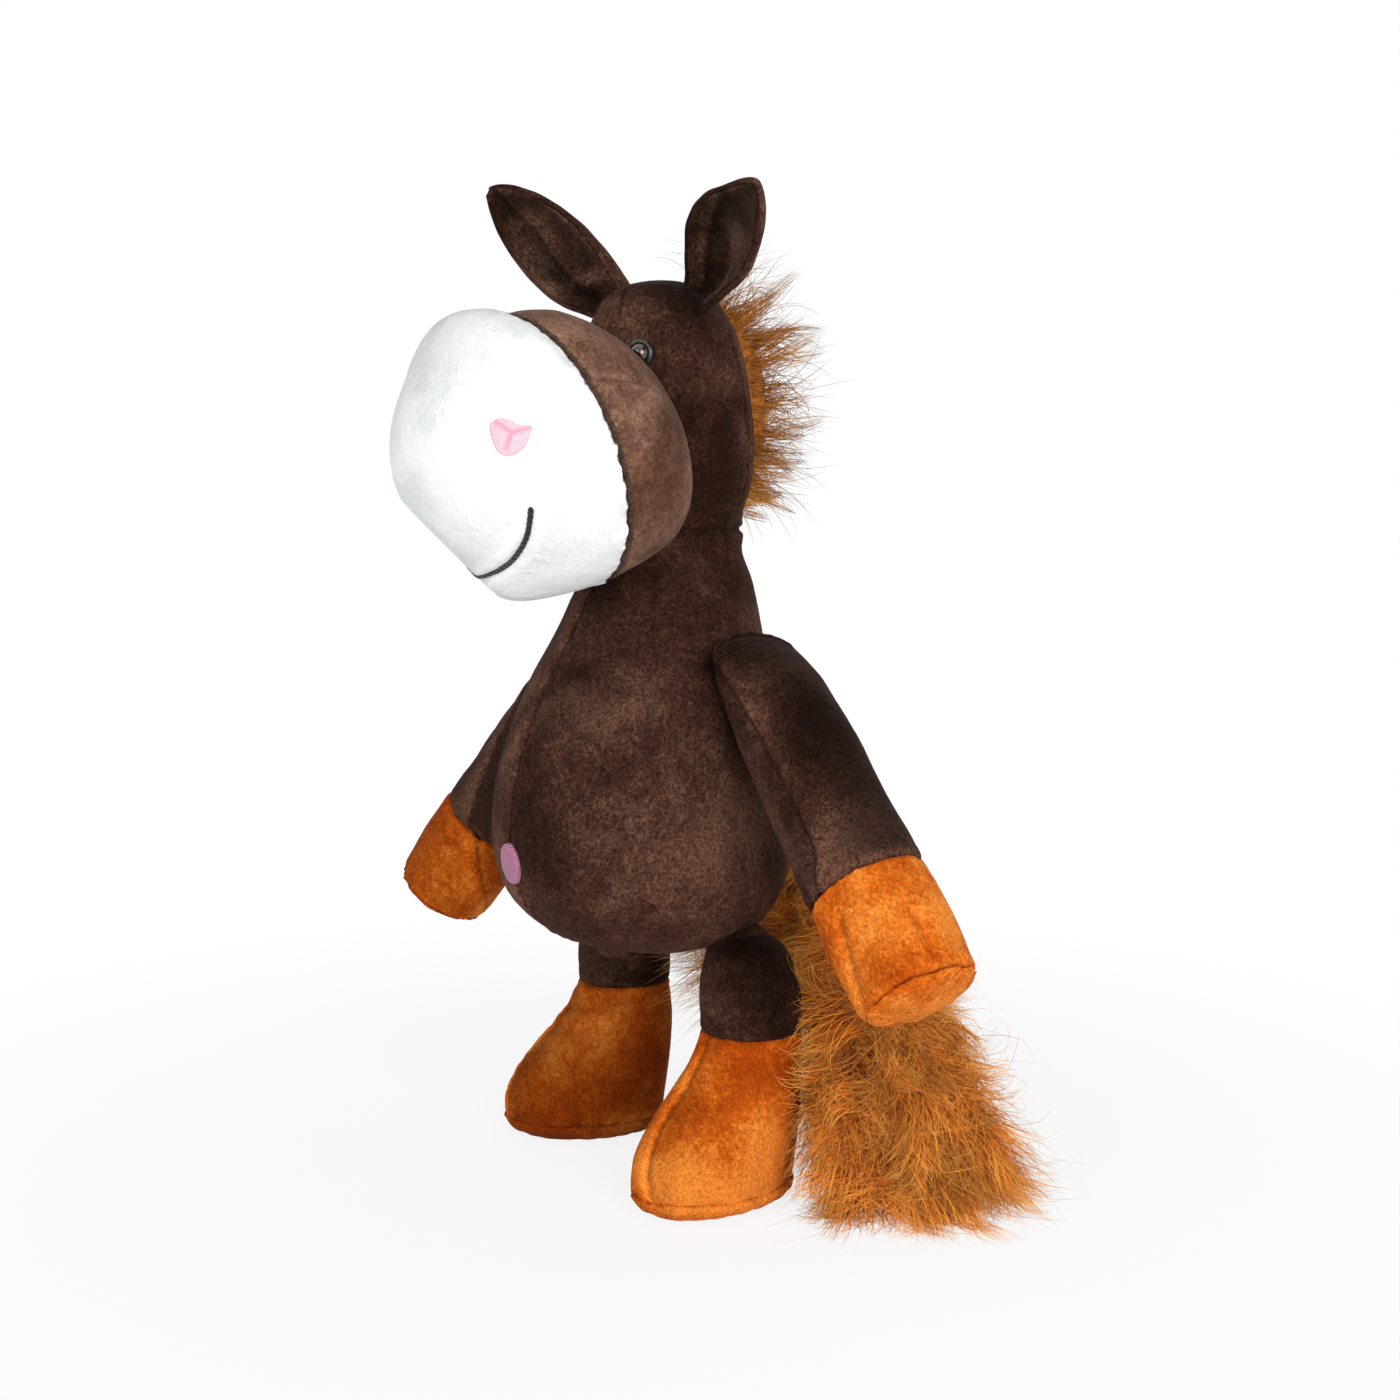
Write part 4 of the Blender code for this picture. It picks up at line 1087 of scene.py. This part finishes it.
def strands(name, roots, aims, lengths, look, finish, group, rings=5):  # tapered three-sided hairs
    count = len(roots)
    along = np.linspace(0, 1, rings + 1)
    groups = int(group.max()) + 1
    swirl = unit(rng.normal(size=(groups, 3)))[group] + rng.normal(scale=look["stray"], size=(count, 3))
    turn = (rng.uniform(0.2, 1.0, groups)[group] * look["curl"])[:, None]
    heading, line = unit(aims), [roots]
    for k in range(rings):
        line.append(line[-1] + heading * (lengths / rings)[:, None])
        heading = unit(heading + (np.array(look["droop"]) + np.cross(heading, swirl) * turn) / rings)
    line = np.array(line)
    total = np.zeros((rings + 1, groups, 3))
    for k in range(rings + 1):
        np.add.at(total[k], group, line[k])
    middle = (total / np.bincount(group, minlength=groups).clip(1)[None, :, None])[:, group]
    hold = look["pull"] * rng.uniform(0.5, 1.1, count).clip(0, 1)
    line += (middle - line) * (hold[None, :] * (along ** 1.3)[:, None])[..., None]
    line[..., 1] = np.where(line[..., 1] > pileEnd, pileEnd + (line[..., 1] - pileEnd) * 0.3, line[..., 1])
    # nothing goes into the floor
    line[..., 2] = np.maximum(line[..., 2], 0.0003 + 0.0008 * rng.uniform(size=count))
    other = rng.normal(size=(count, 3))
    thick = look["thick"] * rng.uniform(0.7, 1.25, count)
    spots = np.empty((count, rings * 3 + 1, 3))
    flow = np.gradient(line, axis=0)
    for k in range(rings):
        across = unit(np.cross(flow[k], other))
        upright = unit(np.cross(flow[k], across))
        size = (thick * (1 - along[k]) ** 0.6)[:, None]
        for j in range(3):
            angle = j * 2 * math.pi / 3
            spots[:, k * 3 + j] = line[k] + (across * math.cos(angle) + upright * math.sin(angle)) * size
    spots[:, -1] = line[rings]
    one = [(0, 1, 2)]
    for k in range(rings - 1):
        for j in range(3):
            a, b = k * 3 + j, k * 3 + (j + 1) % 3
            one.append((a, a + 3, b + 3, b))
    one += [((rings - 1) * 3 + j, rings * 3, (rings - 1) * 3 + (j + 1) % 3) for j in range(3)]
    each = rings * 3 + 1
    faces = [tuple(i + n * each for i in f) for n in range(count) for f in one]
    piece = toObject(name, spots.reshape(-1, 3).clip([-9, -9, 0.0002], 9), faces)
    mark(piece, "along", np.tile(np.append(np.repeat(along[:-1], 3), 1), count))
    tone = look.get("light", 0.5) + look.get("tones", 0.2) * rng.normal(size=groups)[group]
    tone = tone + 0.10 * rng.normal(size=count)
    mark(piece, "tone", np.repeat(tone.clip(0, 1), each))
    piece.data.materials.append(finish)
    return piece


def scatter(piece, count, keep=None):  # random points on a piece with their normals
    piece.data.calc_loop_triangles()
    spots = pointsOf(piece)
    tris = np.array([t.vertices[:] for t in piece.data.loop_triangles])
    a, b, c = (spots[tris[:, k]] for k in range(3))
    cross = np.cross(b - a, c - a)
    area = np.linalg.norm(cross, axis=1)
    if keep is not None:
        area = area * keep((a + b + c) / 3, unit(cross))
    pick = rng.choice(len(tris), count, p=area / area.sum())
    u, v = rng.uniform(size=(2, count))
    flip = u + v > 1
    u[flip], v[flip] = 1 - u[flip], 1 - v[flip]
    where = a[pick] + (b - a)[pick] * u[:, None] + (c - a)[pick] * v[:, None]
    return where, unit(cross)[pick]


def locks(centres, aims, each, spread, jitter):  # hairs in bundles: roots, aims and bundle numbers
    group = np.repeat(np.arange(len(centres)), each)
    roots = centres[group] + rng.normal(scale=spread, size=(len(group), 3))
    return roots, unit(aims)[group] + rng.normal(scale=jitter, size=(len(group), 3)), group


def furBase(name, node, voxel, inset, finish, shift=(0, 0, 0)):
    spots, faces = solidOf(node)
    piece = toObject(name, spots, faces)
    movePoints(piece, pointsOf(piece) - normalsOf(piece) * inset + np.array(shift))
    remeshed(piece, voxel)
    relaxed(piece, 6)
    mark(piece, "along", np.full(len(piece.data.vertices), 0.1))
    mark(piece, "tone", 0.35 + 0.3 * wavy(pointsOf(piece), 260, 3))
    piece.data.materials.append(finish)
    return piece


maneLook = {
    "inset": 0.0030, "shift": (0, -0.0078, 0), "under": 360,
    "underLength": (0.006, 0.010), "locks": 34, "each": 26,
    "length": (0.017, 0.031), "strays": 460,
    "nape": (18, 28, (0.010, 0.021)), "napeAt": (0.2135, 0.2340),  # locks, hairs in each, length; heights
    "soft": {"thick": 0.00013, "curl": 0.8, "stray": 0.5, "pull": 0.3, "droop": (0, 0, -0.2), "light": 0.34},
    "bundle": {"thick": 0.00012, "curl": 1.1, "stray": 0.25, "pull": 0.95, "droop": (0, 0.1, 0.1),
               "tones": 0.16, "light": 0.38},
    "loose": {"thick": 0.00013, "curl": 1.8, "stray": 0.6, "pull": 0.0, "droop": (0, 0, -0.1),
               "tones": 0.2, "light": 0.05},
}


def asFur(pieces, body, node):
    for piece in pieces:
        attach(piece, body)
    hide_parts(node)


def makeMane():
    base = furBase("mane.base", "mane", 0.0013, maneLook["inset"], manePile, maneLook["shift"])
    low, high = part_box("mane")

    def aimsAt(spots, out):
        height = (spots[:, 2] - low.z) / (high.z - low.z)
        side = (spots[:, 0] - toy["spine"]) / 0.0075 * 0.25
        side = np.stack([side, np.ones(len(spots)), (height - 0.40) * 0.9 + 0.05], 1)
        return unit(out * 0.25 + side)

    def backwards(p, n):
        return (n[:, 1] > -0.1).astype(float) + 0.02

    roots, out = scatter(base, maneLook["under"], backwards)
    group = rng.integers(0, 300, len(roots))
    under = strands("mane.under", roots, aimsAt(roots, out) + rng.normal(scale=0.35, size=roots.shape),
                    rng.uniform(*maneLook["underLength"], len(roots)), maneLook["soft"], manePile, group, 4)
    centres, out = scatter(base, maneLook["locks"], backwards)
    aims = aimsAt(centres, out) + rng.normal(scale=0.22, size=centres.shape)
    roots, aims, group = locks(centres - out * 0.002, aims, maneLook["each"], 0.0012, 0.14)
    lengths = rng.uniform(*maneLook["length"], maneLook["locks"])[group] * rng.uniform(0.65, 1.1, len(roots))
    pile = strands("mane.pile", roots, aims, lengths, maneLook["bundle"], manePile, group, 6)
    roots, out = scatter(base, maneLook["strays"],
                         lambda p, n: backwards(p, n) * (0.4 + 2.0 * eased((p[:, 2] - 0.265) / 0.02)))
    group = rng.integers(0, 200, len(roots))
    upright = eased((roots[:, 2] - 0.268) / 0.02)[:, None] * np.array([0.1, -0.5, 1.3])
    aims = aimsAt(roots, out) + upright + rng.normal(scale=0.3, size=roots.shape)
    stray = strands("mane.strays", roots, aims, rng.uniform(0.018, 0.034, len(roots)),
                    maneLook["loose"], manePile, group, 6)
    count, each, span = maneLook["nape"]
    starts = []
    for z in rng.uniform(*maneLook["napeAt"], count):
        start = Vector((toy["spine"] + rng.normal(scale=0.0012), 0.2, z))
        found, spot, _, _ = made["head"].ray_cast(start, Vector((0, -1, 0)))
        if found:
            starts.append(Vector(spot) - Vector((0, 0.001, 0)))
    starts = np.array(starts)
    ways = np.array((0, 1, -0.25)) + rng.normal(scale=0.22, size=starts.shape)
    roots, aims, group = locks(starts, ways, each, 0.0011, 0.14)
    lengths = rng.uniform(*span, len(starts))[group] * rng.uniform(0.65, 1.1, len(roots))
    nape = strands("mane.nape", roots, aims, lengths, maneLook["bundle"], manePile, group, 6)
    asFur([base, under, pile, stray, nape], "head_body", "mane")


tailLook = {
    "inset": 0.0045, "under": 5200, "underLength": (0.014, 0.022), "locks": 210, "each": 30,
    "length": (0.020, 0.034), "strays": 1100,
    "spill": (64, 30, (0.020, 0.034)), "dock": (96, 32, (0.016, 0.030)), "between": (44, 34, (0.050, 0.070)),
    "widen": (0.0035, 0.0120),
    "soft": {"thick": 0.00015, "curl": 1.6, "stray": 0.6, "pull": 0.2, "droop": (0, 0, -0.25), "tones": 0.12},
    "bundle": {"thick": 0.00014, "curl": 2.6, "stray": 0.30, "pull": 0.62, "droop": (0, 0, -0.45),
               "tones": 0.26},
    "loose": {"thick": 0.00009, "curl": 3.2, "stray": 0.6, "pull": 0.0, "droop": (0, 0, -0.2), "tones": 0.25},
    "long": {"thick": 0.00014, "curl": 0.7, "stray": 0.30, "pull": 0.45, "droop": (0, 0, -0.15),
               "tones": 0.2},
    "wraps": [  # places in the picture where locks come forward over the leg: x, y, count, length
        ((822, 862), (895, 1012), 44, (0.024, 0.037)), ((814, 848), (1015, 1200), 26, (0.014, 0.024)),
    ],
    "forward": 0.012,  # they start this far out from the base, in the other fur
}
pictureLeft = np.array([-0.559, -0.829, 0])
towardsCamera = np.array([0.8245, -0.5561, 0.1045])


def makeTail():
    base = furBase("tail.base", "tail_tuft", 0.0018, tailLook["inset"], goldenPile)
    spots = pointsOf(base)
    across = spots @ pictureLeft
    share = eased((across - across.min()) / np.ptp(across))  # fuller on the side of the leg, most at the top
    wide, high = tailLook["widen"]
    share = share * (wide + high * eased((spots[:, 2] - 0.050) / 0.03))
    movePoints(base, spots + pictureLeft * share[:, None])
    rootLow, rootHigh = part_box("tail_root")
    top = np.array((rootLow + rootHigh) / 2)

    def aimsAt(spots, out, spill):
        flow = unit(spots - top)
        return unit(flow + out * spill + np.array([0, 0, -0.2]))

    roots, out = scatter(base, tailLook["under"])
    group = np.unique((roots / 0.007).round().astype(int), axis=0, return_inverse=True)[1].ravel()
    under = strands("tail.under", roots, aimsAt(roots, out, 0.55) + rng.normal(scale=0.3, size=roots.shape),
                    rng.uniform(*tailLook["underLength"], len(roots)), tailLook["soft"], goldenPile, group, 4)
    centres, out = scatter(base, tailLook["locks"], lambda p, n: 0.6 + 0.8 * (n[:, 2] > -0.2))
    aims = aimsAt(centres, out, 0.75) + rng.normal(scale=0.30, size=centres.shape)
    roots, aims, group = locks(centres, aims, tailLook["each"], 0.0022, 0.22)
    lengths = rng.uniform(*tailLook["length"], tailLook["locks"])[group] * rng.uniform(0.6, 1.1, len(roots))
    pile = strands("tail.pile", roots, aims, lengths, tailLook["bundle"], goldenPile, group, 5)
    spots = pointsOf(base)
    sideways = (spots @ pictureLeft).max() - 0.014
    extra = []

    def beside(low, high):  # on the side of the leg, between two heights
        return lambda p, n: ((p @ pictureLeft > sideways) & (p[:, 2] > low) & (p[:, 2] < high)) + 0.0

    for key, piece, keep, aim in (
        ("spill", base, beside(0.028, 1), pictureLeft * 0.8 + towardsCamera * 0.9 + (0, 0, -0.45)),
        ("dock", made["tail_root"], lambda p, n: (n[:, 1] > -0.6) + 0.0,
         pictureLeft * 0.5 + towardsCamera * 0.7 + (0, 0, -0.9)),
        ("between", base, beside(0.055, 0.085), None),
    ):
        count, each, span = tailLook[key]
        starts, facing = scatter(piece, count, keep)
        ways = aim + facing * 0.3 if aim is not None else unit(np.array([-0.034, 0.024, 0.058]) - starts)
        ways = unit(ways) + rng.normal(scale=0.22 if aim is not None else 0.08, size=ways.shape)
        hairs, ways, own = locks(starts, ways, each, 0.0022, 0.2)
        far = rng.uniform(*span, count)[own] * rng.uniform(0.6, 1.1, len(hairs))
        look = tailLook["bundle" if aim is not None else "long"]
        extra.append(strands("tail." + key, hairs, ways, far, look, goldenPile, own, 6))
    starts, lengths = [], []
    for (left, right), (high, low), count, span in tailLook["wraps"]:
        for _ in range(count):
            way = lineOfSight(rng.uniform(left, right), rng.uniform(high, low))
            found, spot, _, _ = base.ray_cast(camera.location, way)
            if found:
                starts.append(Vector(spot) + Vector(towardsCamera) * tailLook["forward"])
                lengths.append(rng.uniform(*span))
    starts, lengths = np.array(starts), np.array(lengths)
    ways = pictureLeft + towardsCamera * 0.55 + (0, 0, -0.30) + rng.normal(scale=0.22, size=starts.shape)
    hairs, ways, own = locks(starts, ways, 30, 0.0024, 0.2)
    far = lengths[own] * rng.uniform(0.6, 1.1, len(hairs))
    extra.append(strands("tail.wrap", hairs, ways, far, tailLook["bundle"], goldenPile, own, 6))
    roots, out = scatter(base, tailLook["strays"])
    group = rng.integers(0, 400, len(roots))
    stray = strands("tail.strays", roots, aimsAt(roots, out, 1.1) + rng.normal(scale=0.5, size=roots.shape),
                    rng.uniform(0.020, 0.038, len(roots)), tailLook["loose"], goldenPile, group, 6)
    asFur([base, under, pile, stray] + extra, "tail_body", "tail_tuft")


fringe = {
    "count": 3800, "length": (0.0017, 0.0036), "back": (0.0001, 0.0014), "group": 0.03,
    "look": {"thick": 0.00014, "curl": 0.5, "stray": 0.3, "pull": 0.75, "droop": (0, 0, 0), "tones": 0.2},
}


def makeFringe():  # brown pile that stands over the edge of the white
    band, nose = made["muzzle_band"], toy["nose"]
    roots, aims = [], []
    angles = rng.uniform(0, 2 * math.pi, fringe["count"])
    backs = rng.uniform(*fringe["back"], fringe["count"])
    for a, back in zip(angles, backs):
        way = Vector((1, 0, 0)) * math.cos(a) + toy["noseUp"] * math.sin(a)
        start = nose - toy["noseOut"] * back + way * 0.08
        found, spot, out, _ = band.ray_cast(start, -way)
        if found:
            roots.append(Vector(spot) - out * 0.0002)
            aims.append(toy["noseOut"] * 0.8 + out * 0.75)
    roots, aims = np.array(roots), np.array(aims)
    angles = np.arctan2(roots[:, 2] - nose.z, roots[:, 0] - nose.x)
    group = np.unique((angles / fringe["group"]).round().astype(int), return_inverse=True)[1].ravel()
    lock = rng.uniform(0.55, 1.1, group.max() + 1)[group]
    piece = strands("muzzle.fringe", roots, aims + rng.normal(scale=0.25, size=aims.shape),
                    rng.uniform(*fringe["length"], len(roots)) * lock, fringe["look"], brownPile, group, 3)
    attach(piece, "head_body")


makeMane()
makeTail()
makeFringe()
print("long pile ready")


def lathe(name, profile, sides, closed=False):
    rings = len(profile)
    spots, faces = [], []
    for r, z in profile:
        for k in range(sides):
            a = 2 * math.pi * k / sides
            spots.append((r * math.cos(a), r * math.sin(a), z))
    last = rings if closed else rings - 1
    for i in range(last):
        for k in range(sides):
            n = (k + 1) % sides
            j = (i + 1) % rings
            faces.append((i * sides + k, i * sides + n, j * sides + n, j * sides + k))
    if not closed:
        faces.append(tuple(reversed(range(sides))))
        faces.append(tuple((rings - 1) * sides + k for k in range(sides)))
    return toObject(name, spots, faces)


eyeLook = {"radius": 0.0029, "rise": 0.0026, "ring": 0.0034, "tube": 0.00085, "sides": 40}


def eyeMaterials():
    glass, tree, shader = startMaterial("irisPlastic", Coat_Weight=1.0, Coat_Roughness=0.03)
    place = objectPlace(tree)
    flat = put(tree, "ShaderNodeMapping", {"Vector": place, "Scale": (1, 1, 0)}).outputs[0]
    away = put(tree, "ShaderNodeVectorMath", {0: flat}, operation="LENGTH").outputs["Value"]
    share = maths(tree, "DIVIDE", away, eyeLook["radius"])
    threads = speckle(tree, place, 1800, 2)
    share = maths(tree, "ADD", share, maths(tree, "MULTIPLY_ADD", threads, 0.05, -0.025))
    colour = ramp(tree, share, (0.50, paint(8, 5, 4)), (0.56, paint(86, 48, 26)),
                  (0.80, paint(62, 32, 18)), (0.97, paint(18, 9, 6)))
    tree.links.new(colour, shader.inputs["Base Color"])
    tree.links.new(maths(tree, "MULTIPLY_ADD", threads, 0.06, 0.05), shader.inputs["Roughness"])
    others = []
    for name, sockets, scale, low, high, rough in (
        ("ringPlastic", {"Coat_Weight": 0.3}, 900, paint(9, 8, 8), paint(24, 22, 21), 0.2),
        ("washerPlastic", {}, 700, paint(220, 220, 216), paint(236, 236, 232), 0.4),
    ):
        plastic, tree, shader = startMaterial(name, **sockets)
        wear = speckle(tree, objectPlace(tree), scale, 3)
        tree.links.new(ramp(tree, wear, (0.3, low), (0.7, high)), shader.inputs["Base Color"])
        tree.links.new(maths(tree, "MULTIPLY_ADD", wear, 0.2, rough), shader.inputs["Roughness"])
        others.append(plastic)
    return [glass] + others


irisPlastic, ringPlastic, washerPlastic = eyeMaterials()


def makeEye(side):
    spots = pointsOf(nodes["eye_ring_" + side])
    middle = spots.mean(0)
    axis = Vector(np.linalg.svd(spots - middle)[2][2])
    if axis.y > 0:
        axis.negate()
    turn = axis.to_track_quat("Z", "Y").to_matrix().to_4x4()
    place = Matrix.Translation(Vector(middle)) @ turn
    r, h = eyeLook["radius"], eyeLook["rise"]
    dome = [(r * 0.98, -0.0012), (r, -0.0006)]
    dome += [(r * math.sin(t), h * math.cos(t)) for t in np.linspace(math.pi / 2, 0.04, 14)]
    iris = lathe(f"eye.{side}.iris", dome, eyeLook["sides"])
    tube = eyeLook["tube"]
    rim = [(eyeLook["ring"] + tube * math.cos(t), tube * 0.9 * math.sin(t))
           for t in np.linspace(0, 2 * math.pi, 17)[:-1]]
    ring = lathe(f"eye.{side}.ring", rim, eyeLook["sides"], closed=True)
    for piece, finish, node, slotName in (
        (iris, irisPlastic, "eye_" + side, "brown_plastic"),
        (ring, ringPlastic, "eye_ring_" + side, "black_plastic"),
    ):
        piece.data.materials.append(finish)
        piece.matrix_world = place
        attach(piece, "head_body")
        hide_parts(node)
    nodes["eye_washer_" + side].data.materials.clear()
    nodes["eye_washer_" + side].data.materials.append(washerPlastic)


for side in ("left", "right"):
    makeEye(side)
print("eyes ready")


def thread(name, low, mid, high, scale):  # glossy stitches side by side, set out by the "stitch" marks
    made, tree, shader = startMaterial(name, Specular_IOR_Level=0.4, Sheen_Weight=0.15)
    fibres = speckle(tree, objectPlace(tree), scale, 3, 0.6, 0.4)
    ridge = maths(tree, "MULTIPLY_ADD", maths(tree, "SINE", reading(tree, "stitch")), 0.5, 0.5)
    value = maths(tree, "MULTIPLY_ADD", ridge, 0.45, maths(tree, "MULTIPLY", fibres, 0.55))
    colour = ramp(tree, value, (0.25, low), (0.5, mid), (0.75, high))
    # darker where the "seam" marks are: painted shade in the grooves and pinches
    colour = blendColours(tree, reading(tree, "seam"), colour, low)
    tree.links.new(colour, shader.inputs["Base Color"])
    addBump(tree, shader, value, 0.7, 0.0003)
    tree.links.new(maths(tree, "MULTIPLY_ADD", fibres, 0.3, 0.35), shader.inputs["Roughness"])
    return made


threads = {
    "pink": thread("pinkThread", paint(224, 156, 174), paint(242, 196, 208), paint(250, 218, 226), 1400),
    "mauve": thread("mauveThread", paint(122, 60, 90), paint(160, 96, 128), paint(194, 134, 162), 1400),
    "black": thread("blackThread", paint(4, 4, 4), paint(12, 10, 10), paint(34, 31, 31), 1600),
}


def satinPatch(name, cover, centre, outline, rise, grooves, stitches, finish, base=0.00035):
    rings = 12
    shares = np.linspace(0, 1, rings + 1)[1:]
    sides = len(outline)
    flat = [centre] + [centre + (p - centre) * s for s in shares for p in outline]
    found = [cover.closest_point_on_mesh(Vector(p))[1:3] for p in flat]
    on, out = np.array([f[0] for f in found]), np.array([f[1] for f in found])
    out = unit(out * 0.4 + unit(out.mean(0)) * 0.6)
    share = np.append(0, np.repeat(shares, sides))
    lift = rise * np.sqrt((1 - share ** 2.6).clip(0))
    groove = np.zeros(len(on))
    for a, b in grooves:
        t = np.clip(((on - a) @ (b - a)) / ((b - a) @ (b - a)), 0, 1)[:, None]
        groove = np.maximum(groove, np.exp(-(np.linalg.norm(on - a - (b - a) * t, axis=1) / 0.0006) ** 2))
    top = on + out * (lift - 0.75 * rise * groove + base)[:, None]
    bottom = on - out * 0.0005
    faces, half = [], len(on)
    for k in range(sides):
        n = (k + 1) % sides
        faces += [(0, 1 + k, 1 + n), (half, half + 1 + n, half + 1 + k)]
        for r in range(rings - 1):
            a, b = 1 + r * sides + k, 1 + r * sides + n
            faces += [(a, a + sides, b + sides, b), (half + a, half + b, half + b + sides, half + a + sides)]
        a, b = 1 + (rings - 1) * sides + k, 1 + (rings - 1) * sides + n
        faces.append((a, half + a, half + b, b))
    piece = turnedOut(toObject(name, np.concatenate([top, bottom]), faces))
    mark(piece, "stitch", np.tile(stitches(on), 2))
    # painted shade: the stitches are marked darker in the pinched grooves
    mark(piece, "seam", np.tile(0.9 * groove, 2))
    piece.data.materials.append(finish)
    return piece


nostrilDots = {
    "outline": [(490.5, 421), (500, 417.5), (511, 420), (519, 425.5), (534, 425), (530, 434),
                (527, 445), (519, 453), (508, 457.5), (498, 452.5), (493, 443), (490, 432)],
    "middle": (512, 433), "ends": [(494, 421), (529, 428), (506, 449)],
}


def roundLine(spots, count):  # a closed outline, rounded off
    spots = np.array(spots)
    for _ in range(3):
        after = np.roll(spots, -1, 0)
        spots = np.stack([spots * 0.75 + after * 0.25, spots * 0.25 + after * 0.75], 1).reshape(-1, 3)
    ring = np.vstack([spots, spots[:1]])
    far = np.append(0, np.cumsum(np.linalg.norm(np.diff(ring, axis=0), axis=1)))
    at = np.linspace(0, far[-1], count + 1)[:-1]
    return np.stack([np.interp(at, far, ring[:, k]) for k in range(3)], axis=1)


def makeNostrils():
    cap = made["muzzle_cap"]
    near = [castDots(cap, nostrilDots[key]) for key in ("outline", "ends")]
    centre = castDots(cap, [nostrilDots["middle"]])[0]
    for side in ("left", "right"):
        outline, ends, middle = near[0], near[1], centre
        if side == "right":
            flip = lambda p: snapped(cap, np.atleast_2d(p) * (-1, 1, 1) + (2 * toy["spine"], 0, 0))
            outline, ends, middle = flip(outline)[::-1], flip(ends), flip(centre)[0]
        up = np.array(toy["noseUp"])

        def stitches(on):
            way = unit(np.cross(up, unit(middle - np.array(toy["nose"]))))
            return (on - middle) @ (way + 0.25 * up) / 0.0006 * 2 * math.pi

        piece = satinPatch(f"nostril.{side}", cap, middle, roundLine(outline, 72), 0.0011,
                           [(middle, e) for e in ends], stitches, threads["pink"])
        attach(piece, "head_body")
        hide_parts("nostril_" + side)


bellyLook = {"rise": 0.0011, "thread": 0.0006}


def makeBellyPatch():
    torso = made["torso"]
    low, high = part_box("belly_patch")
    found, centre, out, _ = torso.closest_point_on_mesh((low + high) / 2)
    up = (Vector((0, 0, 1)) - out * out.z).normalized()
    side = up.cross(out)
    wide, tall = (high.x - low.x) / 2, (high.z - low.z) / 2
    turns = np.linspace(0, 2 * math.pi, 65)[:-1]
    outline = np.array([centre + side * wide * math.cos(a) + up * tall * math.sin(a) for a in turns])
    piece = satinPatch("belly.patch", torso, np.array(centre), outline, bellyLook["rise"], [],
                       lambda on: on[:, 2] / bellyLook["thread"] * 2 * math.pi, threads["mauve"], 0.0009)
    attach(piece, "torso_body")
    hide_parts("belly_patch")


def makeMouth():  # one thick cord of slanting stitches, sewn on the cap
    cap = made["muzzle_cap"]
    near = evenLine(cap, castDots(cap, smile["dots"]), rounds=4)
    far = near * (-1, 1, 1) + (2 * toy["spine"], 0, 0)
    line = evenLine(cap, np.vstack([near, far[::-1]]), smile["step"], 5)
    out = np.array([cap.closest_point_on_mesh(Vector(p))[2] for p in line])
    for _ in range(12):
        out[1:-1] = (out[:-2] + 2 * out[1:-1] + out[2:]) / 4
    out = unit(out)
    along = unit(np.gradient(line, axis=0))
    side = unit(np.cross(along, out))
    sides, count = smile["sides"], len(line)
    gone = np.arange(count) * smile["step"]
    spots, stitch = [], []
    for i in range(count):
        end = math.sqrt(min(1, (min(i, count - 1 - i) + 0.4) / 3))
        for k in range(sides):
            a = 2 * math.pi * k / sides
            lay = gone[i] / smile["lay"] * 2 * math.pi + a
            size = end * (1 + 0.09 * math.sin(lay))
            high = 0.0001 + smile["rise"] * math.sin(a) * size
            spots.append(line[i] + out[i] * high + side[i] * smile["half"] * math.cos(a) * size)
            stitch.append(lay)
    faces = []
    for i in range(count - 1):
        a, b = i * sides, (i + 1) * sides
        faces += [(a + k, a + (k + 1) % sides, b + (k + 1) % sides, b + k) for k in range(sides)]
    faces += [tuple(reversed(range(sides))), tuple((count - 1) * sides + k for k in range(sides))]
    piece = turnedOut(toObject("mouth.cord", np.array(spots), faces))
    mark(piece, "stitch", stitch)
    mark(piece, "seam", np.zeros(len(spots)))
    piece.data.materials.append(threads["black"])
    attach(piece, "head_body")
    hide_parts("mouth_line")


makeNostrils()
makeMouth()
makeBellyPatch()
print("embroidery ready")
